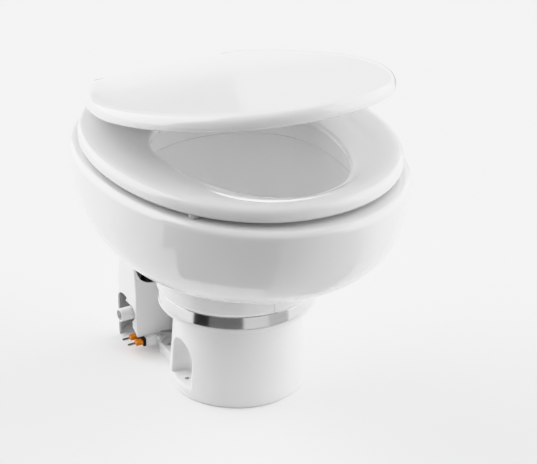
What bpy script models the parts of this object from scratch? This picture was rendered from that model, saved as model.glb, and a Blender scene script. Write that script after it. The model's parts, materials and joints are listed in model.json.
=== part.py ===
"""An electric marine toilet, in metres: +Z is up, -Y is the front, and the floor is at z = 0.

The pedestal stands on the vertical axis x = y = 0. A stainless band clamps the ceramic bowl to it.
Behind the pedestal a macerator pump stands under its cover, with a solenoid water valve beside it.
The seat and the lid turn on one pair of hinge pins at the rear of the rim.
"""

import math

import bmesh
import bpy
from mathutils import Matrix, Vector

# Gaps and overruns that all pieces share
SEAT_GAP = 0.0003
RUNNING_GAP = 0.0006
OVERRUN = 0.002
WELD = 0.000001

# How finely round shapes are divided
OUTLINE_POINTS = 40
BASE_STEPS = 36
RING_STEPS = 40
ROUND_STEPS = 16
SMALL_STEPS = 12
PUMP_STEPS = 24
IMPELLER_STEPS = 20
CUTTER_HOLE_STEPS = 10
NUT_SIDES = 6
CORNER_STEPS = 4
CAPSULE_STEPS = 5
ARCH_STEPS = 8
SMOOTH_ANGLE = math.radians(34)

# Pieces joined from shapes that share a plane, which the exact solver leaves open at some sizes
FLUSH_PIECES = (
    "base_pedestal", "pedestal_hollow", "sump", "seat_leaf_left", "seat_leaf_right",
    "lid_leaf_left", "lid_leaf_right", "hinge_post_left", "hinge_post_right",
)

# Pedestal
FOOT_RADIUS = 0.0895
WALL_TAPER = 0.0080
FOOT_ROUND = 0.0025
STEP_DROP = 0.0331
STEP_DEPTH = 0.0008
FLANGE_RADIUS = 0.1016
FLANGE_LIP = 0.0055
FLANGE_CONE = 0.0090
FLANGE_CONE_SHARES = ((0.25, 0.45), (0.75, 0.85))
PEDESTAL_WALL = 0.0040
DECK_THICKNESS = 0.0110
DECK_BORE_CLEARANCE = 0.0025

# Clamp band and what it grips
BAND_BOTTOM = 0.1211
BAND_HEIGHT = 0.0166
BAND_THICKNESS = 0.0012
BAND_CLEARANCE = 0.0007
FLANGE_GRIP = 0.0054
GASKET_THICKNESS = 0.0040
GASKET_WIDTH = 0.0128
BAND_EAR_ANGLE = math.radians(25)
BAND_EAR_REACH = 0.0140
BAND_EAR_GAP = 0.0090
BAND_EAR_THICKNESS = 0.0016
CLAMP_BOLT_RADIUS = 0.0025
CLAMP_BOLT_SPARE = 0.0060
CLAMP_HEAD_RADIUS = 0.0044
CLAMP_HEAD_LENGTH = 0.0030

# Screw pockets in the sides of the pedestal
POCKET_RADIUS = 0.0245
POCKET_TOP = 0.0725
POCKET_FLOOR = 0.0145
POCKET_SETBACK = 0.0055
FLOOR_HOLE_RADIUS = 0.0033
SIDE_HOLE_SETBACK = 0.0140

# Rear tongue of the pedestal, with two ears, and the shelf for the pump
TONGUE_HALF_WIDTH = 0.0645
TONGUE_LAP = 0.0020
TONGUE_HEIGHT = 0.0155
TONGUE_CORNER = 0.0240
TONGUE_CORNER_START = math.radians(17)
EAR_RIM = 0.0034
EAR_FLOOR = 0.0090
EAR_POCKET_LENGTH = 0.0260
EAR_POCKET_WIDTH = 0.0240
EAR_HOLE_INSET = 0.0155
SHELF_CLEARANCE = 0.0015
LUG_HEIGHT = 0.0230
LUG_THICKNESS = 0.0070
LUG_HALF_WIDTH = 0.0210

# Sump under the bowl and its outlet pipe
SUMP_TOP_RADIUS = 0.0655
SUMP_TAPER = 0.0075
SUMP_CLEARANCE = 0.0020
SUMP_WALL = 0.0030
SUMP_FLOOR = 0.0160
SUMP_FLANGE = 0.0027
SUMP_FLANGE_WIDTH = 0.0125
PIPE_RADIUS = 0.0165
PIPE_WALL = 0.0030
PIPE_OFFSET = 0.0115
PIPE_STOP = 0.0015

# Bowl
BOWL_WIDTH = 0.3820
BOWL_CENTRE_Y = 0.0050
BOWL_FRONT = 0.2585
BOWL_REAR = 0.2480
BOWL_FRONT_POWER = 2.08
BOWL_REAR_POWER = 2.02
COLLAR_OVERHANG = 0.0029
COLLAR_WALL = 0.0130
COLLAR_SHOULDER = 0.0065
COLLAR_HEIGHT = 0.0438
BELLY_STOP = 0.0020
BELLY_RISE_POWER = 2.35
BELLY_SPREAD_POWER = 2.19
BELLY_SHARES = (0.006, 0.035, 0.100, 0.210, 0.370, 0.580, 0.820)
BELLY_INSIDE_SHARES = (0.820, 0.370, 0.100)
COLLAR_TOP_SHARE = 0.75
RIM_TOP = 0.3205
RIM_ROUND = 0.0095
RIM_ROUND_ANGLES = (0, 45, 90)
CERAMIC_WALL = 0.0085
RIM_SIDE_WIDTH = 0.0690
RIM_FRONT_WIDTH = 0.0615
RIM_REAR_WIDTH = 0.1330
MOUTH_SHIFT = 0.0100
MOUTH_POWER = 2.10
RIM_DEPTH = 0.0300
RIM_UNDERCUT = 0.0050
BASIN_LIFT = 0.0304
BASIN_POWER = 2.1
BASIN_SPREAD_POWER = 2.3
BASIN_SHARES = (0.860, 0.600, 0.360, 0.160, 0.040)
BASIN_UNDERSIDE_SHARES = (0.100, 0.500)
DRAIN_RADIUS = 0.0230
DRAIN_DROP = 0.0300

# Seat
SEAT_SIDE_STEP = 0.0070
SEAT_FRONT_STEP = 0.0181
SEAT_SHIFT = 0.0100
SEAT_REAR_STEP = 0.0120
SEAT_FRONT_POWER = 2.08
SEAT_REAR_POWER = 2.05
SEAT_BACK_STEP = 0.0650
SEAT_CORNER = 0.0130
SEAT_LIFT = 0.0062
SEAT_THICKNESS = 0.0180
OPENING_SIDE_STEP = 0.01415
OPENING_FRONT_STEP = 0.0143
OPENING_REAR_STEP = 0.0118
OPENING_FRONT_POWER = 2.14
OPENING_REAR_POWER = 2.02
SEAT_DISH = 0.0085
SEAT_OUTER_SHARES = (
    (0.17, 0.00), (0.03, 0.17), (0.00, 0.42), (0.05, 0.68), (0.20, 0.88), (0.48, 0.98), (0.95, 1.00),
)
SEAT_MIDDLE_SHARE = 0.42
SEAT_INNER_SHARES = ((0.85, 0.10), (0.25, -0.10), (0.00, -0.40))
SEAT_UNDER_SHARE = 0.15
SEAT_BUMPER_RADIUS = 0.0070
SEAT_BUMPER_INSET = 0.0100
SEAT_BUMPER_FRONT_ANGLE = math.radians(38.5)
SEAT_BUMPER_REAR_ANGLE = math.radians(28)

# Lid
LID_SIDE_STEP = 0.0093
LID_SHIFT = 0.0134
LID_FRONT_STEP = 0.0036
LID_REAR_SPREAD = 0.0363
LID_FRONT_POWER = 2.04
LID_REAR_POWER = 1.66
LID_BACK_STEP = 0.0032
LID_CORNER = 0.0157
LID_THICKNESS = 0.0185
LID_EDGE = 0.0102
LID_SECTION_SHARES = (
    (0.35, 0.00), (0.10, 0.08), (0.00, 0.25), (0.02, 0.45),
    (0.18, 0.68), (0.50, 0.86), (1.00, 0.96), (3.00, 1.00),
)
LID_LIFT = 0.0025
LID_AJAR = math.radians(12.6)
LID_BUMPER_RADIUS = 0.0060
LID_BUMPER_INSET = 0.0360
LID_BUMPER_ANGLE = math.radians(45)

# Hinges of the seat and the lid
HINGE_INSET = 0.0415
HINGE_SETBACK = 0.0152
HINGE_RISE = 0.0038
BARREL_RADIUS = 0.0078
HINGE_PIN_RADIUS = 0.0030
PIN_HEAD = 0.0012
PIN_HEAD_RADIUS = 0.0045
POST_WIDTH = 0.0210
POST_DEPTH = 0.0110
POST_FOOT_RADIUS = 0.0115
POST_FOOT_THICKNESS = 0.0030
SEAT_BARREL_WIDTH = 0.0090
LID_BARREL_WIDTH = 0.0090
LEAF_THICKNESS = 0.0028
LEAF_LENGTH = 0.0300
LEAF_WIDTH = 0.0140
LEAF_NARROWING = 0.0022
LID_ARM_SHARE = 0.80
STUD_RADIUS = 0.0030
STUD_DEPTH = 0.0090
SLEEVE_RADIUS = 0.0055
RIM_HOLE_RADIUS = 0.0060
HINGE_NUT_RADIUS = 0.0080
HINGE_NUT_HEIGHT = 0.0060
SLEEVE_SPARE = 0.0045

# Water inlet spud at the back of the bowl
SPUD_BELOW_RIM = 0.0355
SPUD_BOSS_RADIUS = 0.0185
SPUD_BOSS = 0.0012
SPUD_RADIUS = 0.0105
SPUD_FLANGE_RADIUS = 0.0150
SPUD_FLANGE = 0.0030
SPUD_REACH = 0.0180
SPUD_DROP = 0.0300
BARB_RADIUS = 0.0068
BARB_BORE_RADIUS = 0.0042
BARB_STEP = 0.0010
BARB_PITCH = 0.0070
BARB_COUNT = 2

# Macerator pump
PUMP_RADIUS = 0.0340
PUMP_WALL = 0.0040
PUMP_CLEARANCE = 0.0025
CHAMBER_FLOOR = 0.0032
SPIGOT_OFFSET = 0.0220
SPIGOT_LIFT = 0.0060
SPIGOT_RADIUS = 0.0095
SPIGOT_WALL = 0.0024
SPIGOT_REACH = 0.0170
SPIGOT_TAPER = 0.0008
NIPPLE_SETBACK = 0.0120
NIPPLE_LIFT = 0.0015
NIPPLE_RADIUS = 0.0036
NIPPLE_BORE_RADIUS = 0.0018
NIPPLE_LENGTH = 0.0320
SEAL_PLATE_THICKNESS = 0.0040
PUMP_EAR_RADIUS = 0.0052
PUMP_EAR_STEP = 0.0035
PUMP_EAR_ANGLE = math.radians(67)
PUMP_SCREW_RADIUS = 0.0018
PUMP_SCREW_HEAD_RADIUS = 0.0034
PUMP_SCREW_HEAD = 0.0026
PUMP_SCREW_DEPTH = 0.0100
PUMP_SCREW_COUNT = 3
SHAFT_RADIUS = 0.0040
SHAFT_SEAL_RADIUS = 0.0080
SHAFT_SEAL_LENGTH = 0.0050
BLADE_LIFT = 0.0130
BLADE_THICKNESS = 0.0030
BLADE_CLEARANCE = 0.0030
BLADE_ROOT_WIDTH = 0.0110
BLADE_TIP_WIDTH = 0.0050
BLADE_ARMS = 4
CUTTER_PLATE_LIFT = 0.0080
CUTTER_PLATE_THICKNESS = 0.0025
CUTTER_HOLE_RADIUS = 0.0045
CUTTER_HOLE_CIRCLE = 0.0190
CUTTER_HOLES = 6
IMPELLER_LIFT = 0.0030
IMPELLER_HEADROOM = 0.0035
IMPELLER_DISC = 0.0020
IMPELLER_VANE_HEIGHT = 0.0100
IMPELLER_VANE_THICKNESS = 0.0024
IMPELLER_CLEARANCE = 0.0035
IMPELLER_HUB_RADIUS = 0.0075
IMPELLER_VANES = 5
VANE_SWEEP = math.radians(40)
SLEEVE_THICKNESS = 0.0022
SLEEVE_LAP = 0.0070
PIPE_JOINT_GAP = 0.0030

# Motor
MOTOR_STEP = 0.0030
MOTOR_LENGTH = 0.0520
MOTOR_CAP_HEIGHT = 0.0090
MOTOR_CAP_ROUND = 0.0040
SHAFT_SOCKET_DEPTH = 0.0140
VENT_COUNT = 6
VENT_WIDTH = 0.0030
VENT_REACH = 0.0100
VENT_DEPTH = 0.0040

# Cover over the pump
COVER_OVERHANG = 0.0255
COVER_WIDTH = 0.1240
COVER_SETBACK = 0.0094
COVER_HEADROOM = 0.0066
LUG_CLEARANCE = 0.0012
COVER_WALL = 0.0025
COVER_FRONT_CORNER = 0.0025
COVER_REAR_CORNER = 0.0380
COVER_DRAFT = 0.0180
COVER_DRAFT_SHARES = (
    (0.00, 0.00, 0.00, 0.00), (0.45, 0.00, 0.00, 0.00), (0.66, 0.00, 0.05, 0.14),
    (0.83, 0.00, 0.17, 0.36), (0.945, 0.11, 0.28, 0.56), (1.00, 0.44, 0.61, 1.00),
)
COVER_FRONT_LIFT = 0.0240
MOTOR_NOTCH_RADIUS = 0.0250
MOTOR_NOTCH_SETBACK = 0.0280
MOTOR_NOTCH_HEIGHT = 0.1240
SLOT_LEAD = 0.0045
SLOT_LENGTH = 0.0485
SLOT_TOP = 0.0730
SLOT_DEPTH = 0.0065
SPIGOT_CLEARANCE = 0.0020
PIPE_NOTCH_HALF_WIDTH = 0.0212
PIPE_NOTCH_TOP = 0.0800
ARCH_WIDTH = 0.0460
ARCH_TOP = 0.0360
COVER_SCREW_RADIUS = 0.0018
COVER_SCREW_HEAD_RADIUS = 0.0038
COVER_SCREW_HEAD = 0.0020
COVER_SCREW_SPACING = 0.0240
COVER_SCREW_HEIGHT = 0.0300

# Solenoid water valve under the cover's front corner
VALVE_SETBACK = 0.0260
VALVE_LENGTH = 0.0156
VALVE_LEAD = 0.0060
VALVE_DEPTH = 0.0270
VALVE_FLOOR = 0.0100
VALVE_EDGE = 0.0010
YOKE_LENGTH = 0.0034
YOKE_INSET = 0.0010
TERMINAL_LENGTH = 0.0100
TERMINAL_WIDTH = 0.0084
TERMINAL_HEIGHT = 0.0056
TERMINAL_SPACING = 0.0165
TERMINAL_SETBACK = 0.0044
SPADE_LENGTH = 0.0105
SPADE_WIDTH = 0.0048
SPADE_THICKNESS = 0.0008
PORT_RADIUS = 0.0052
PORT_BORE_RADIUS = 0.0030
PORT_LENGTH = 0.0110
OUTLET_PORT_SETBACK = 0.0145

# Colours, roughness and metallic values
WHITE_PLASTIC = ((0.86, 0.86, 0.86), 0.38, 0.0)
GREY_PLASTIC = ((0.55, 0.55, 0.56), 0.45, 0.0)
BLACK_PLASTIC = ((0.02, 0.02, 0.022), 0.35, 0.0)
ORANGE_PLASTIC = ((0.85, 0.30, 0.03), 0.40, 0.0)
CERAMIC = ((0.90, 0.90, 0.90), 0.06, 0.0)
SEAT_WHITE = ((0.90, 0.90, 0.90), 0.12, 0.0)
RUBBER = ((0.05, 0.05, 0.05), 0.70, 0.0)
STAINLESS = ((0.62, 0.62, 0.63), 0.22, 1.0)

# Heights and radii of the pedestal, the sump and the band, which follow from the ones above.
# The cover behind them stands clear of the wider of the foot and the flange.
WALL_TOP_RADIUS = FOOT_RADIUS - WALL_TAPER
STEP_HEIGHT = BAND_BOTTOM - STEP_DROP
BAND_TOP = BAND_BOTTOM + BAND_HEIGHT
GRIP_RADIUS = FLANGE_RADIUS - BAND_THICKNESS - BAND_CLEARANCE
PEDESTAL_TOP = BAND_BOTTOM + FLANGE_GRIP
DECK_BORE_RADIUS = SUMP_TOP_RADIUS + DECK_BORE_CLEARANCE
SUMP_FLANGE_RADIUS = SUMP_TOP_RADIUS + SUMP_FLANGE_WIDTH
POCKET_CENTRE_X = FOOT_RADIUS - POCKET_SETBACK
SIDE_HOLE_X = FOOT_RADIUS - SIDE_HOLE_SETBACK
SUMP_WAIST_HEIGHT = POCKET_TOP - POCKET_RADIUS
SUMP_WAIST_RADIUS = POCKET_CENTRE_X - POCKET_RADIUS - PEDESTAL_WALL - SUMP_CLEARANCE
SUMP_BASE_RADIUS = SUMP_WAIST_RADIUS - SUMP_TAPER
COVER_FRONT = max(FLANGE_RADIUS, FOOT_RADIUS) + COVER_SETBACK
TONGUE_REAR = COVER_FRONT + TONGUE_LAP
EAR_HOLE_X = TONGUE_HALF_WIDTH - EAR_HOLE_INSET
EAR_HOLE_Y = TONGUE_REAR - EAR_HOLE_INSET

# Places of the bowl, the seat, the lid and their hinges
GASKET_BOTTOM = PEDESTAL_TOP + SEAT_GAP
BOWL_BOTTOM = GASKET_BOTTOM + GASKET_THICKNESS + SEAT_GAP
COLLAR_RADIUS = FLANGE_RADIUS + COLLAR_OVERHANG
BELLY_BOTTOM = BAND_TOP + COLLAR_HEIGHT
BELLY_RISE = RIM_TOP - BELLY_STOP - BELLY_BOTTOM
BOWL_BACK = BOWL_CENTRE_Y + BOWL_REAR
BASIN_TOP = RIM_TOP - RIM_DEPTH
BASIN_FOOT = BOWL_BOTTOM + BASIN_LIFT
BASIN_DEPTH = BASIN_TOP - BASIN_FOOT
MOUTH_WIDTH = BOWL_WIDTH - 2 * RIM_SIDE_WIDTH
MOUTH_CENTRE_Y = BOWL_CENTRE_Y - MOUTH_SHIFT
MOUTH_FRONT = BOWL_FRONT - RIM_FRONT_WIDTH
MOUTH_REAR = BOWL_REAR - RIM_REAR_WIDTH
SEAT_BOTTOM = RIM_TOP + SEAT_LIFT
SEAT_TOP = SEAT_BOTTOM + SEAT_THICKNESS
SEAT_WIDTH = BOWL_WIDTH - 2 * SEAT_SIDE_STEP
SEAT_CENTRE_Y = BOWL_CENTRE_Y - SEAT_SHIFT
SEAT_FRONT = BOWL_FRONT - SEAT_SHIFT - SEAT_FRONT_STEP
SEAT_REAR = BOWL_REAR - SEAT_REAR_STEP
SEAT_BACK = BOWL_BACK - SEAT_BACK_STEP
OPENING_WIDTH = MOUTH_WIDTH - 2 * OPENING_SIDE_STEP
OPENING_FRONT = MOUTH_FRONT - OPENING_FRONT_STEP
OPENING_REAR = MOUTH_REAR - OPENING_REAR_STEP
LID_WIDTH = SEAT_WIDTH - 2 * LID_SIDE_STEP
LID_CENTRE_Y = BOWL_CENTRE_Y - LID_SHIFT
LID_FRONT = SEAT_FRONT - LID_FRONT_STEP
LID_REAR = BOWL_REAR + LID_REAR_SPREAD
LID_BACK = SEAT_BACK - LID_BACK_STEP
LID_BOTTOM = SEAT_TOP + LID_LIFT
HINGE_Y = LID_BACK + HINGE_SETBACK
REAR_RUN_SHARE = (HINGE_Y - BOWL_CENTRE_Y) / BOWL_REAR
RIM_WIDTH_SHARE = (1 - REAR_RUN_SHARE ** BOWL_REAR_POWER) ** (1 / BOWL_REAR_POWER)
HINGE_SPACING = BOWL_WIDTH * RIM_WIDTH_SHARE - 2 * HINGE_INSET
HINGE_Z = SEAT_TOP + HINGE_RISE
SPUD_HEIGHT = RIM_TOP - SPUD_BELOW_RIM

# Places of the cover, the pump and the valve
COVER_LEFT = -TONGUE_HALF_WIDTH - COVER_OVERHANG
COVER_RIGHT = COVER_LEFT + COVER_WIDTH
PUMP_X = (COVER_LEFT + COVER_RIGHT) / 2
PUMP_Y = COVER_FRONT + COVER_WALL + PUMP_CLEARANCE + PUMP_RADIUS
PUMP_BOTTOM = TONGUE_HEIGHT + SEAT_GAP
PIPE_X = PUMP_X + PIPE_OFFSET
PIPE_END = COVER_FRONT - PIPE_STOP
PIPE_HEIGHT = TONGUE_HEIGHT + SEAT_GAP + SLEEVE_THICKNESS + SEAT_GAP + PIPE_RADIUS
SHELF_REAR = PUMP_Y + PUMP_RADIUS + LUG_CLEARANCE + LUG_THICKNESS
COVER_REAR = SHELF_REAR + SEAT_GAP + COVER_WALL
CHAMBER_RADIUS = PUMP_RADIUS - PUMP_WALL
PUMP_EAR_CIRCLE = PUMP_RADIUS + PUMP_EAR_STEP
BLADE_HEIGHT = PUMP_BOTTOM + CHAMBER_FLOOR + BLADE_LIFT
BLADE_REACH = CHAMBER_RADIUS - BLADE_CLEARANCE
CUTTER_PLATE_HEIGHT = BLADE_HEIGHT + BLADE_THICKNESS + CUTTER_PLATE_LIFT
IMPELLER_HEIGHT = CUTTER_PLATE_HEIGHT + CUTTER_PLATE_THICKNESS + IMPELLER_LIFT
IMPELLER_TOP = IMPELLER_HEIGHT + IMPELLER_DISC + IMPELLER_VANE_HEIGHT
IMPELLER_RADIUS = CHAMBER_RADIUS - IMPELLER_CLEARANCE
PUMP_TOP = IMPELLER_TOP + IMPELLER_HEADROOM + SHAFT_SEAL_LENGTH
MOTOR_BOTTOM = PUMP_TOP + SEAL_PLATE_THICKNESS + 2 * SEAT_GAP
MOTOR_TOP = MOTOR_BOTTOM + MOTOR_LENGTH
MOTOR_CAP_TOP = MOTOR_TOP + SEAT_GAP + MOTOR_CAP_HEIGHT
MOTOR_RADIUS = PUMP_RADIUS - MOTOR_STEP
COVER_TOP = MOTOR_CAP_TOP + COVER_HEADROOM + COVER_WALL
SPIGOT_Y = PUMP_Y - SPIGOT_OFFSET
SPIGOT_HEIGHT = IMPELLER_HEIGHT + SPIGOT_LIFT
SPIGOT_END_X = COVER_LEFT - SPIGOT_REACH
NIPPLE_X = COVER_LEFT + NIPPLE_SETBACK
NIPPLE_HEIGHT = SPIGOT_HEIGHT + NIPPLE_LIFT
NIPPLE_END_Y = SPIGOT_Y + NIPPLE_LENGTH
MOTOR_NOTCH_X = COVER_LEFT + MOTOR_NOTCH_SETBACK
SLOT_FRONT = SPIGOT_Y - SLOT_LEAD
SLOT_REAR = SLOT_FRONT + SLOT_LENGTH
VALVE_RIGHT = COVER_LEFT + VALVE_SETBACK
VALVE_FRONT = COVER_FRONT - VALVE_LEAD
SHELF_HALF_WIDTH = PUMP_X - VALVE_RIGHT - PORT_LENGTH - SHELF_CLEARANCE

BOWL_EGG = (BOWL_WIDTH, BOWL_CENTRE_Y, BOWL_FRONT, BOWL_REAR, BOWL_FRONT_POWER, BOWL_REAR_POWER)
MOUTH_EGG = (MOUTH_WIDTH, MOUTH_CENTRE_Y, MOUTH_FRONT, MOUTH_REAR, MOUTH_POWER, MOUTH_POWER)
SEAT_EGG = (SEAT_WIDTH, SEAT_CENTRE_Y, SEAT_FRONT, SEAT_REAR, SEAT_FRONT_POWER, SEAT_REAR_POWER)
OPENING_EGG = (
    OPENING_WIDTH, MOUTH_CENTRE_Y, OPENING_FRONT, OPENING_REAR,
    OPENING_FRONT_POWER, OPENING_REAR_POWER,
)
LID_EGG = (LID_WIDTH, LID_CENTRE_Y, LID_FRONT, LID_REAR, LID_FRONT_POWER, LID_REAR_POWER)


def clear_scene():
    for item in list(bpy.data.objects):
        bpy.data.objects.remove(item, do_unlink=True)


def material(name, finish):
    colour, roughness, metallic = finish
    made = bpy.data.materials.new(name)
    made.use_nodes = True
    shader = made.node_tree.nodes["Principled BSDF"]
    shader.inputs["Base Color"].default_value = (*colour, 1.0)
    shader.inputs["Roughness"].default_value = roughness
    shader.inputs["Metallic"].default_value = metallic
    return made


def finished(name, mesh, finish):
    """A named object of this mesh, shaded smooth but for its sharp edges, with its own material."""
    mesh.shade_smooth()
    mesh.set_sharp_from_angle(angle=SMOOTH_ANGLE)
    item = bpy.data.objects.new(name, mesh)
    bpy.context.scene.collection.objects.link(item)
    if finish:
        mesh.materials.append(material(name, finish))
    else:
        item.hide_render = True
        item.display_type = "WIRE"
    return item


def solid_from(name, points, faces, finish):
    mesh = bpy.data.meshes.new(name)
    mesh.from_pydata(points, [], faces)
    shape = bmesh.new()
    shape.from_mesh(mesh)
    bmesh.ops.remove_doubles(shape, verts=shape.verts, dist=WELD)
    bmesh.ops.recalc_face_normals(shape, faces=shape.faces)
    shape.to_mesh(mesh)
    shape.free()
    return finished(name, mesh, finish)


def skin(name, rings, finish, closed=False):
    """A solid through rings of equal count: closed joins the last to the first, else both are capped."""
    count = len(rings[0])
    points = [tuple(point) for ring in rings for point in ring]
    spans = len(rings) if closed else len(rings) - 1
    faces = []
    for span in range(spans):
        here, there = span * count, (span + 1) % len(rings) * count
        for i in range(count):
            j = (i + 1) % count
            faces.append((here + i, here + j, there + j, there + i))
    if not closed:
        faces.append(tuple(reversed(range(count))))
        faces.append(tuple(range(spans * count, (spans + 1) * count)))
    return solid_from(name, points, faces, finish)


def turned(name, profile, finish, steps=ROUND_STEPS, x=0.0, y=0.0):
    """A solid turned about the vertical axis through x, y from a closed profile of radius and height."""
    shape = bmesh.new()
    corners = [shape.verts.new((radius, 0.0, height)) for radius, height in profile]
    edges = [
        shape.edges.new((first, last))
        for first, last in zip(corners, corners[1:] + corners[:1])
        if first.co.x > 0.0 or last.co.x > 0.0
    ]
    bmesh.ops.spin(
        shape, geom=corners + edges, cent=(0.0, 0.0, 0.0), axis=(0.0, 0.0, 1.0),
        angle=math.tau, steps=steps, use_merge=True,
    )
    bmesh.ops.remove_doubles(shape, verts=shape.verts, dist=WELD)
    bmesh.ops.recalc_face_normals(shape, faces=shape.faces)
    mesh = bpy.data.meshes.new(name)
    shape.to_mesh(mesh)
    shape.free()
    item = finished(name, mesh, finish)
    item.location = (x, y, 0.0)
    return item


def rod(name, radius, start, end, finish, sides=ROUND_STEPS, end_radius=None):
    """A round bar, tapered where an end radius is given, from one point to another."""
    first, last = Vector(start), Vector(end)
    length = (last - first).length
    shape = bmesh.new()
    bmesh.ops.create_cone(
        shape, cap_ends=True, segments=sides, radius1=radius,
        radius2=radius if end_radius is None else end_radius, depth=length,
    )
    turn = (last - first).to_track_quat("Z", "Y").to_matrix().to_4x4()
    place = Matrix.Translation((first + last) / 2) @ turn
    bmesh.ops.transform(shape, matrix=place, verts=shape.verts)
    bmesh.ops.recalc_face_normals(shape, faces=shape.faces)
    mesh = bpy.data.meshes.new(name)
    shape.to_mesh(mesh)
    shape.free()
    return finished(name, mesh, finish)


def block(name, low, high, finish):
    """A box between its lowest and highest corners."""
    corners = [(x, y, z) for z in (low[2], high[2]) for x, y in (
        (low[0], low[1]), (high[0], low[1]), (high[0], high[1]), (low[0], high[1]))]
    return skin(name, [corners[:4], corners[4:]], finish)


def prism(name, outline, bottom, top, finish):
    """A flat outline in plan, raised between two heights."""
    return skin(name, [[(x, y, z) for x, y in outline] for z in (bottom, top)], finish)


def boolean(target, tool, operation):
    step = target.modifiers.new(operation.lower() + "_" + tool.name, "BOOLEAN")
    step.operation = operation
    step.solver = "MANIFOLD" if target.name in FLUSH_PIECES else "EXACT"
    step.object = tool
    tool.hide_render = True
    tool.display_type = "WIRE"


def cut(target, *tools):
    for tool in tools:
        boolean(target, tool, "DIFFERENCE")


def join(target, *tools):
    for tool in tools:
        boolean(target, tool, "UNION")


def bevel(target, width, segments=2):
    step = target.modifiers.new("edge_round", "BEVEL")
    step.width = width
    step.segments = segments
    step.limit_method = "ANGLE"


def axis_empty(name, place):
    """An empty on a joint's axis, which carries the pieces that turn about it."""
    empty = bpy.data.objects.new(name, None)
    empty.location = place
    bpy.context.scene.collection.objects.link(empty)
    return empty


def carry(empty, *pieces):
    """Parents pieces, modelled in world coordinates, to an empty that stands on their axis."""
    for piece in pieces:
        piece.parent = empty
        piece.location = piece.location - empty.location


def blend(first, last, share):
    return first + (last - first) * share


def soft_limit(value, limit, reach):
    """Holds a value under a limit, with a rounded turn over the reach."""
    share = min(max(0.5 + 0.5 * (limit - value) / reach, 0.0), 1.0)
    return blend(limit, value, share) - reach * share * (1.0 - share)


def egg_point(egg, angle, inset=0.0):
    """A point of an egg at an angle, counted from the left side towards the rear."""
    width, centre_y, front, rear, front_power, rear_power = egg
    across, along = math.cos(angle), math.sin(angle)
    length, power = (front, front_power) if along < 0 else (rear, rear_power)
    x = (width / 2 - inset) * math.copysign(abs(across) ** (2 / power), across)
    y = centre_y + (length - inset) * math.copysign(abs(along) ** (2 / power), along)
    return x, y


def egg_outline(egg, inset=0.0, back=None, corner=0.0, points=OUTLINE_POINTS):
    """An egg in plan: a superellipse with its own length and power at the front and at the rear.

    With a back given, the rear is cut straight there, with round corners.
    """
    outline = [egg_point(egg, math.tau * step / points, inset) for step in range(points)]
    if back is None:
        return outline
    return [(x, soft_limit(y, back - inset, corner)) for x, y in outline]


def aligned_circle(radius, outline):
    """A circle whose points lie in the same directions as an outline's, so that the two blend evenly."""
    return [(radius * x / math.hypot(x, y), radius * y / math.hypot(x, y)) for x, y in outline]


def at_height(outline, height):
    return [(x, y, height) for x, y in outline]


def blended(first, last, share):
    return [(blend(a, c, share), blend(b, d, share)) for (a, b), (c, d) in zip(first, last)]


def rounded_plan(left, right, front, rear, front_corner, rear_corner, steps=CORNER_STEPS):
    """A rectangle in plan with one corner radius at the front and another at the rear."""
    corners = (
        (left, front, front_corner, 180), (right, front, front_corner, 270),
        (right, rear, rear_corner, 0), (left, rear, rear_corner, 90),
    )
    outline = []
    for x, y, radius, start in corners:
        centre_x = x + radius if x == left else x - radius
        centre_y = y + radius if y == front else y - radius
        for step in range(steps + 1):
            angle = math.radians(start + 90 * step / steps)
            x_here, y_here = centre_x + radius * math.cos(angle), centre_y + radius * math.sin(angle)
            outline.append((x_here, y_here))
    return outline


def wall_radius(height):
    """The pedestal's outer radius, which narrows evenly up to the flange."""
    return blend(FOOT_RADIUS, WALL_TOP_RADIUS, height / BAND_BOTTOM)


def capsule(name, radius, x, y, bottom, top, finish=None):
    """An upright bar with a round top."""
    arc = [math.radians(90 * step / CAPSULE_STEPS) for step in range(CAPSULE_STEPS + 1)]
    dome = [(radius * math.cos(angle), top - radius + radius * math.sin(angle)) for angle in arc]
    profile = [(0.0, bottom), (radius, bottom), *dome[:-1], (0.0, top)]
    return turned(name, profile, finish, x=x, y=y)


def ear_arc(side, inset):
    """The tongue's soft rear corner on one side, or the line a given inset inside it."""
    reach = TONGUE_CORNER * math.cos(TONGUE_CORNER_START)
    turn = math.pi / 2 - 2 * TONGUE_CORNER_START
    outline = []
    for step in range(CORNER_STEPS + 1):
        angle = TONGUE_CORNER_START + turn * step / CORNER_STEPS
        x = TONGUE_HALF_WIDTH - reach + (TONGUE_CORNER - inset) * math.cos(angle)
        y = TONGUE_REAR - reach + (TONGUE_CORNER - inset) * math.sin(angle)
        outline.append((side * x, y))
    return outline if side > 0 else outline[::-1]


def tongue_outline():
    return [(-TONGUE_HALF_WIDTH, 0.0), (TONGUE_HALF_WIDTH, 0.0), *ear_arc(1, 0.0), *ear_arc(-1, 0.0)]


def ear_pocket(side):
    """The recess round a rear floor screw, inside a thin rim along the tongue's corner."""
    arc = ear_arc(side, EAR_RIM)
    rear, outer = max(y for _, y in arc), max(abs(x) for x, _ in arc)
    near = rear - EAR_POCKET_LENGTH
    inner = side * (outer - EAR_POCKET_WIDTH)
    outline = [(side * outer, near), *arc, (inner, rear), (inner, near)]
    if side < 0:
        outline = [(inner, near), (inner, rear), *arc, (side * outer, near)]
    return prism(f"ear_pocket_{side}", outline, EAR_FLOOR, TONGUE_HEIGHT + OVERRUN, None)


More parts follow.
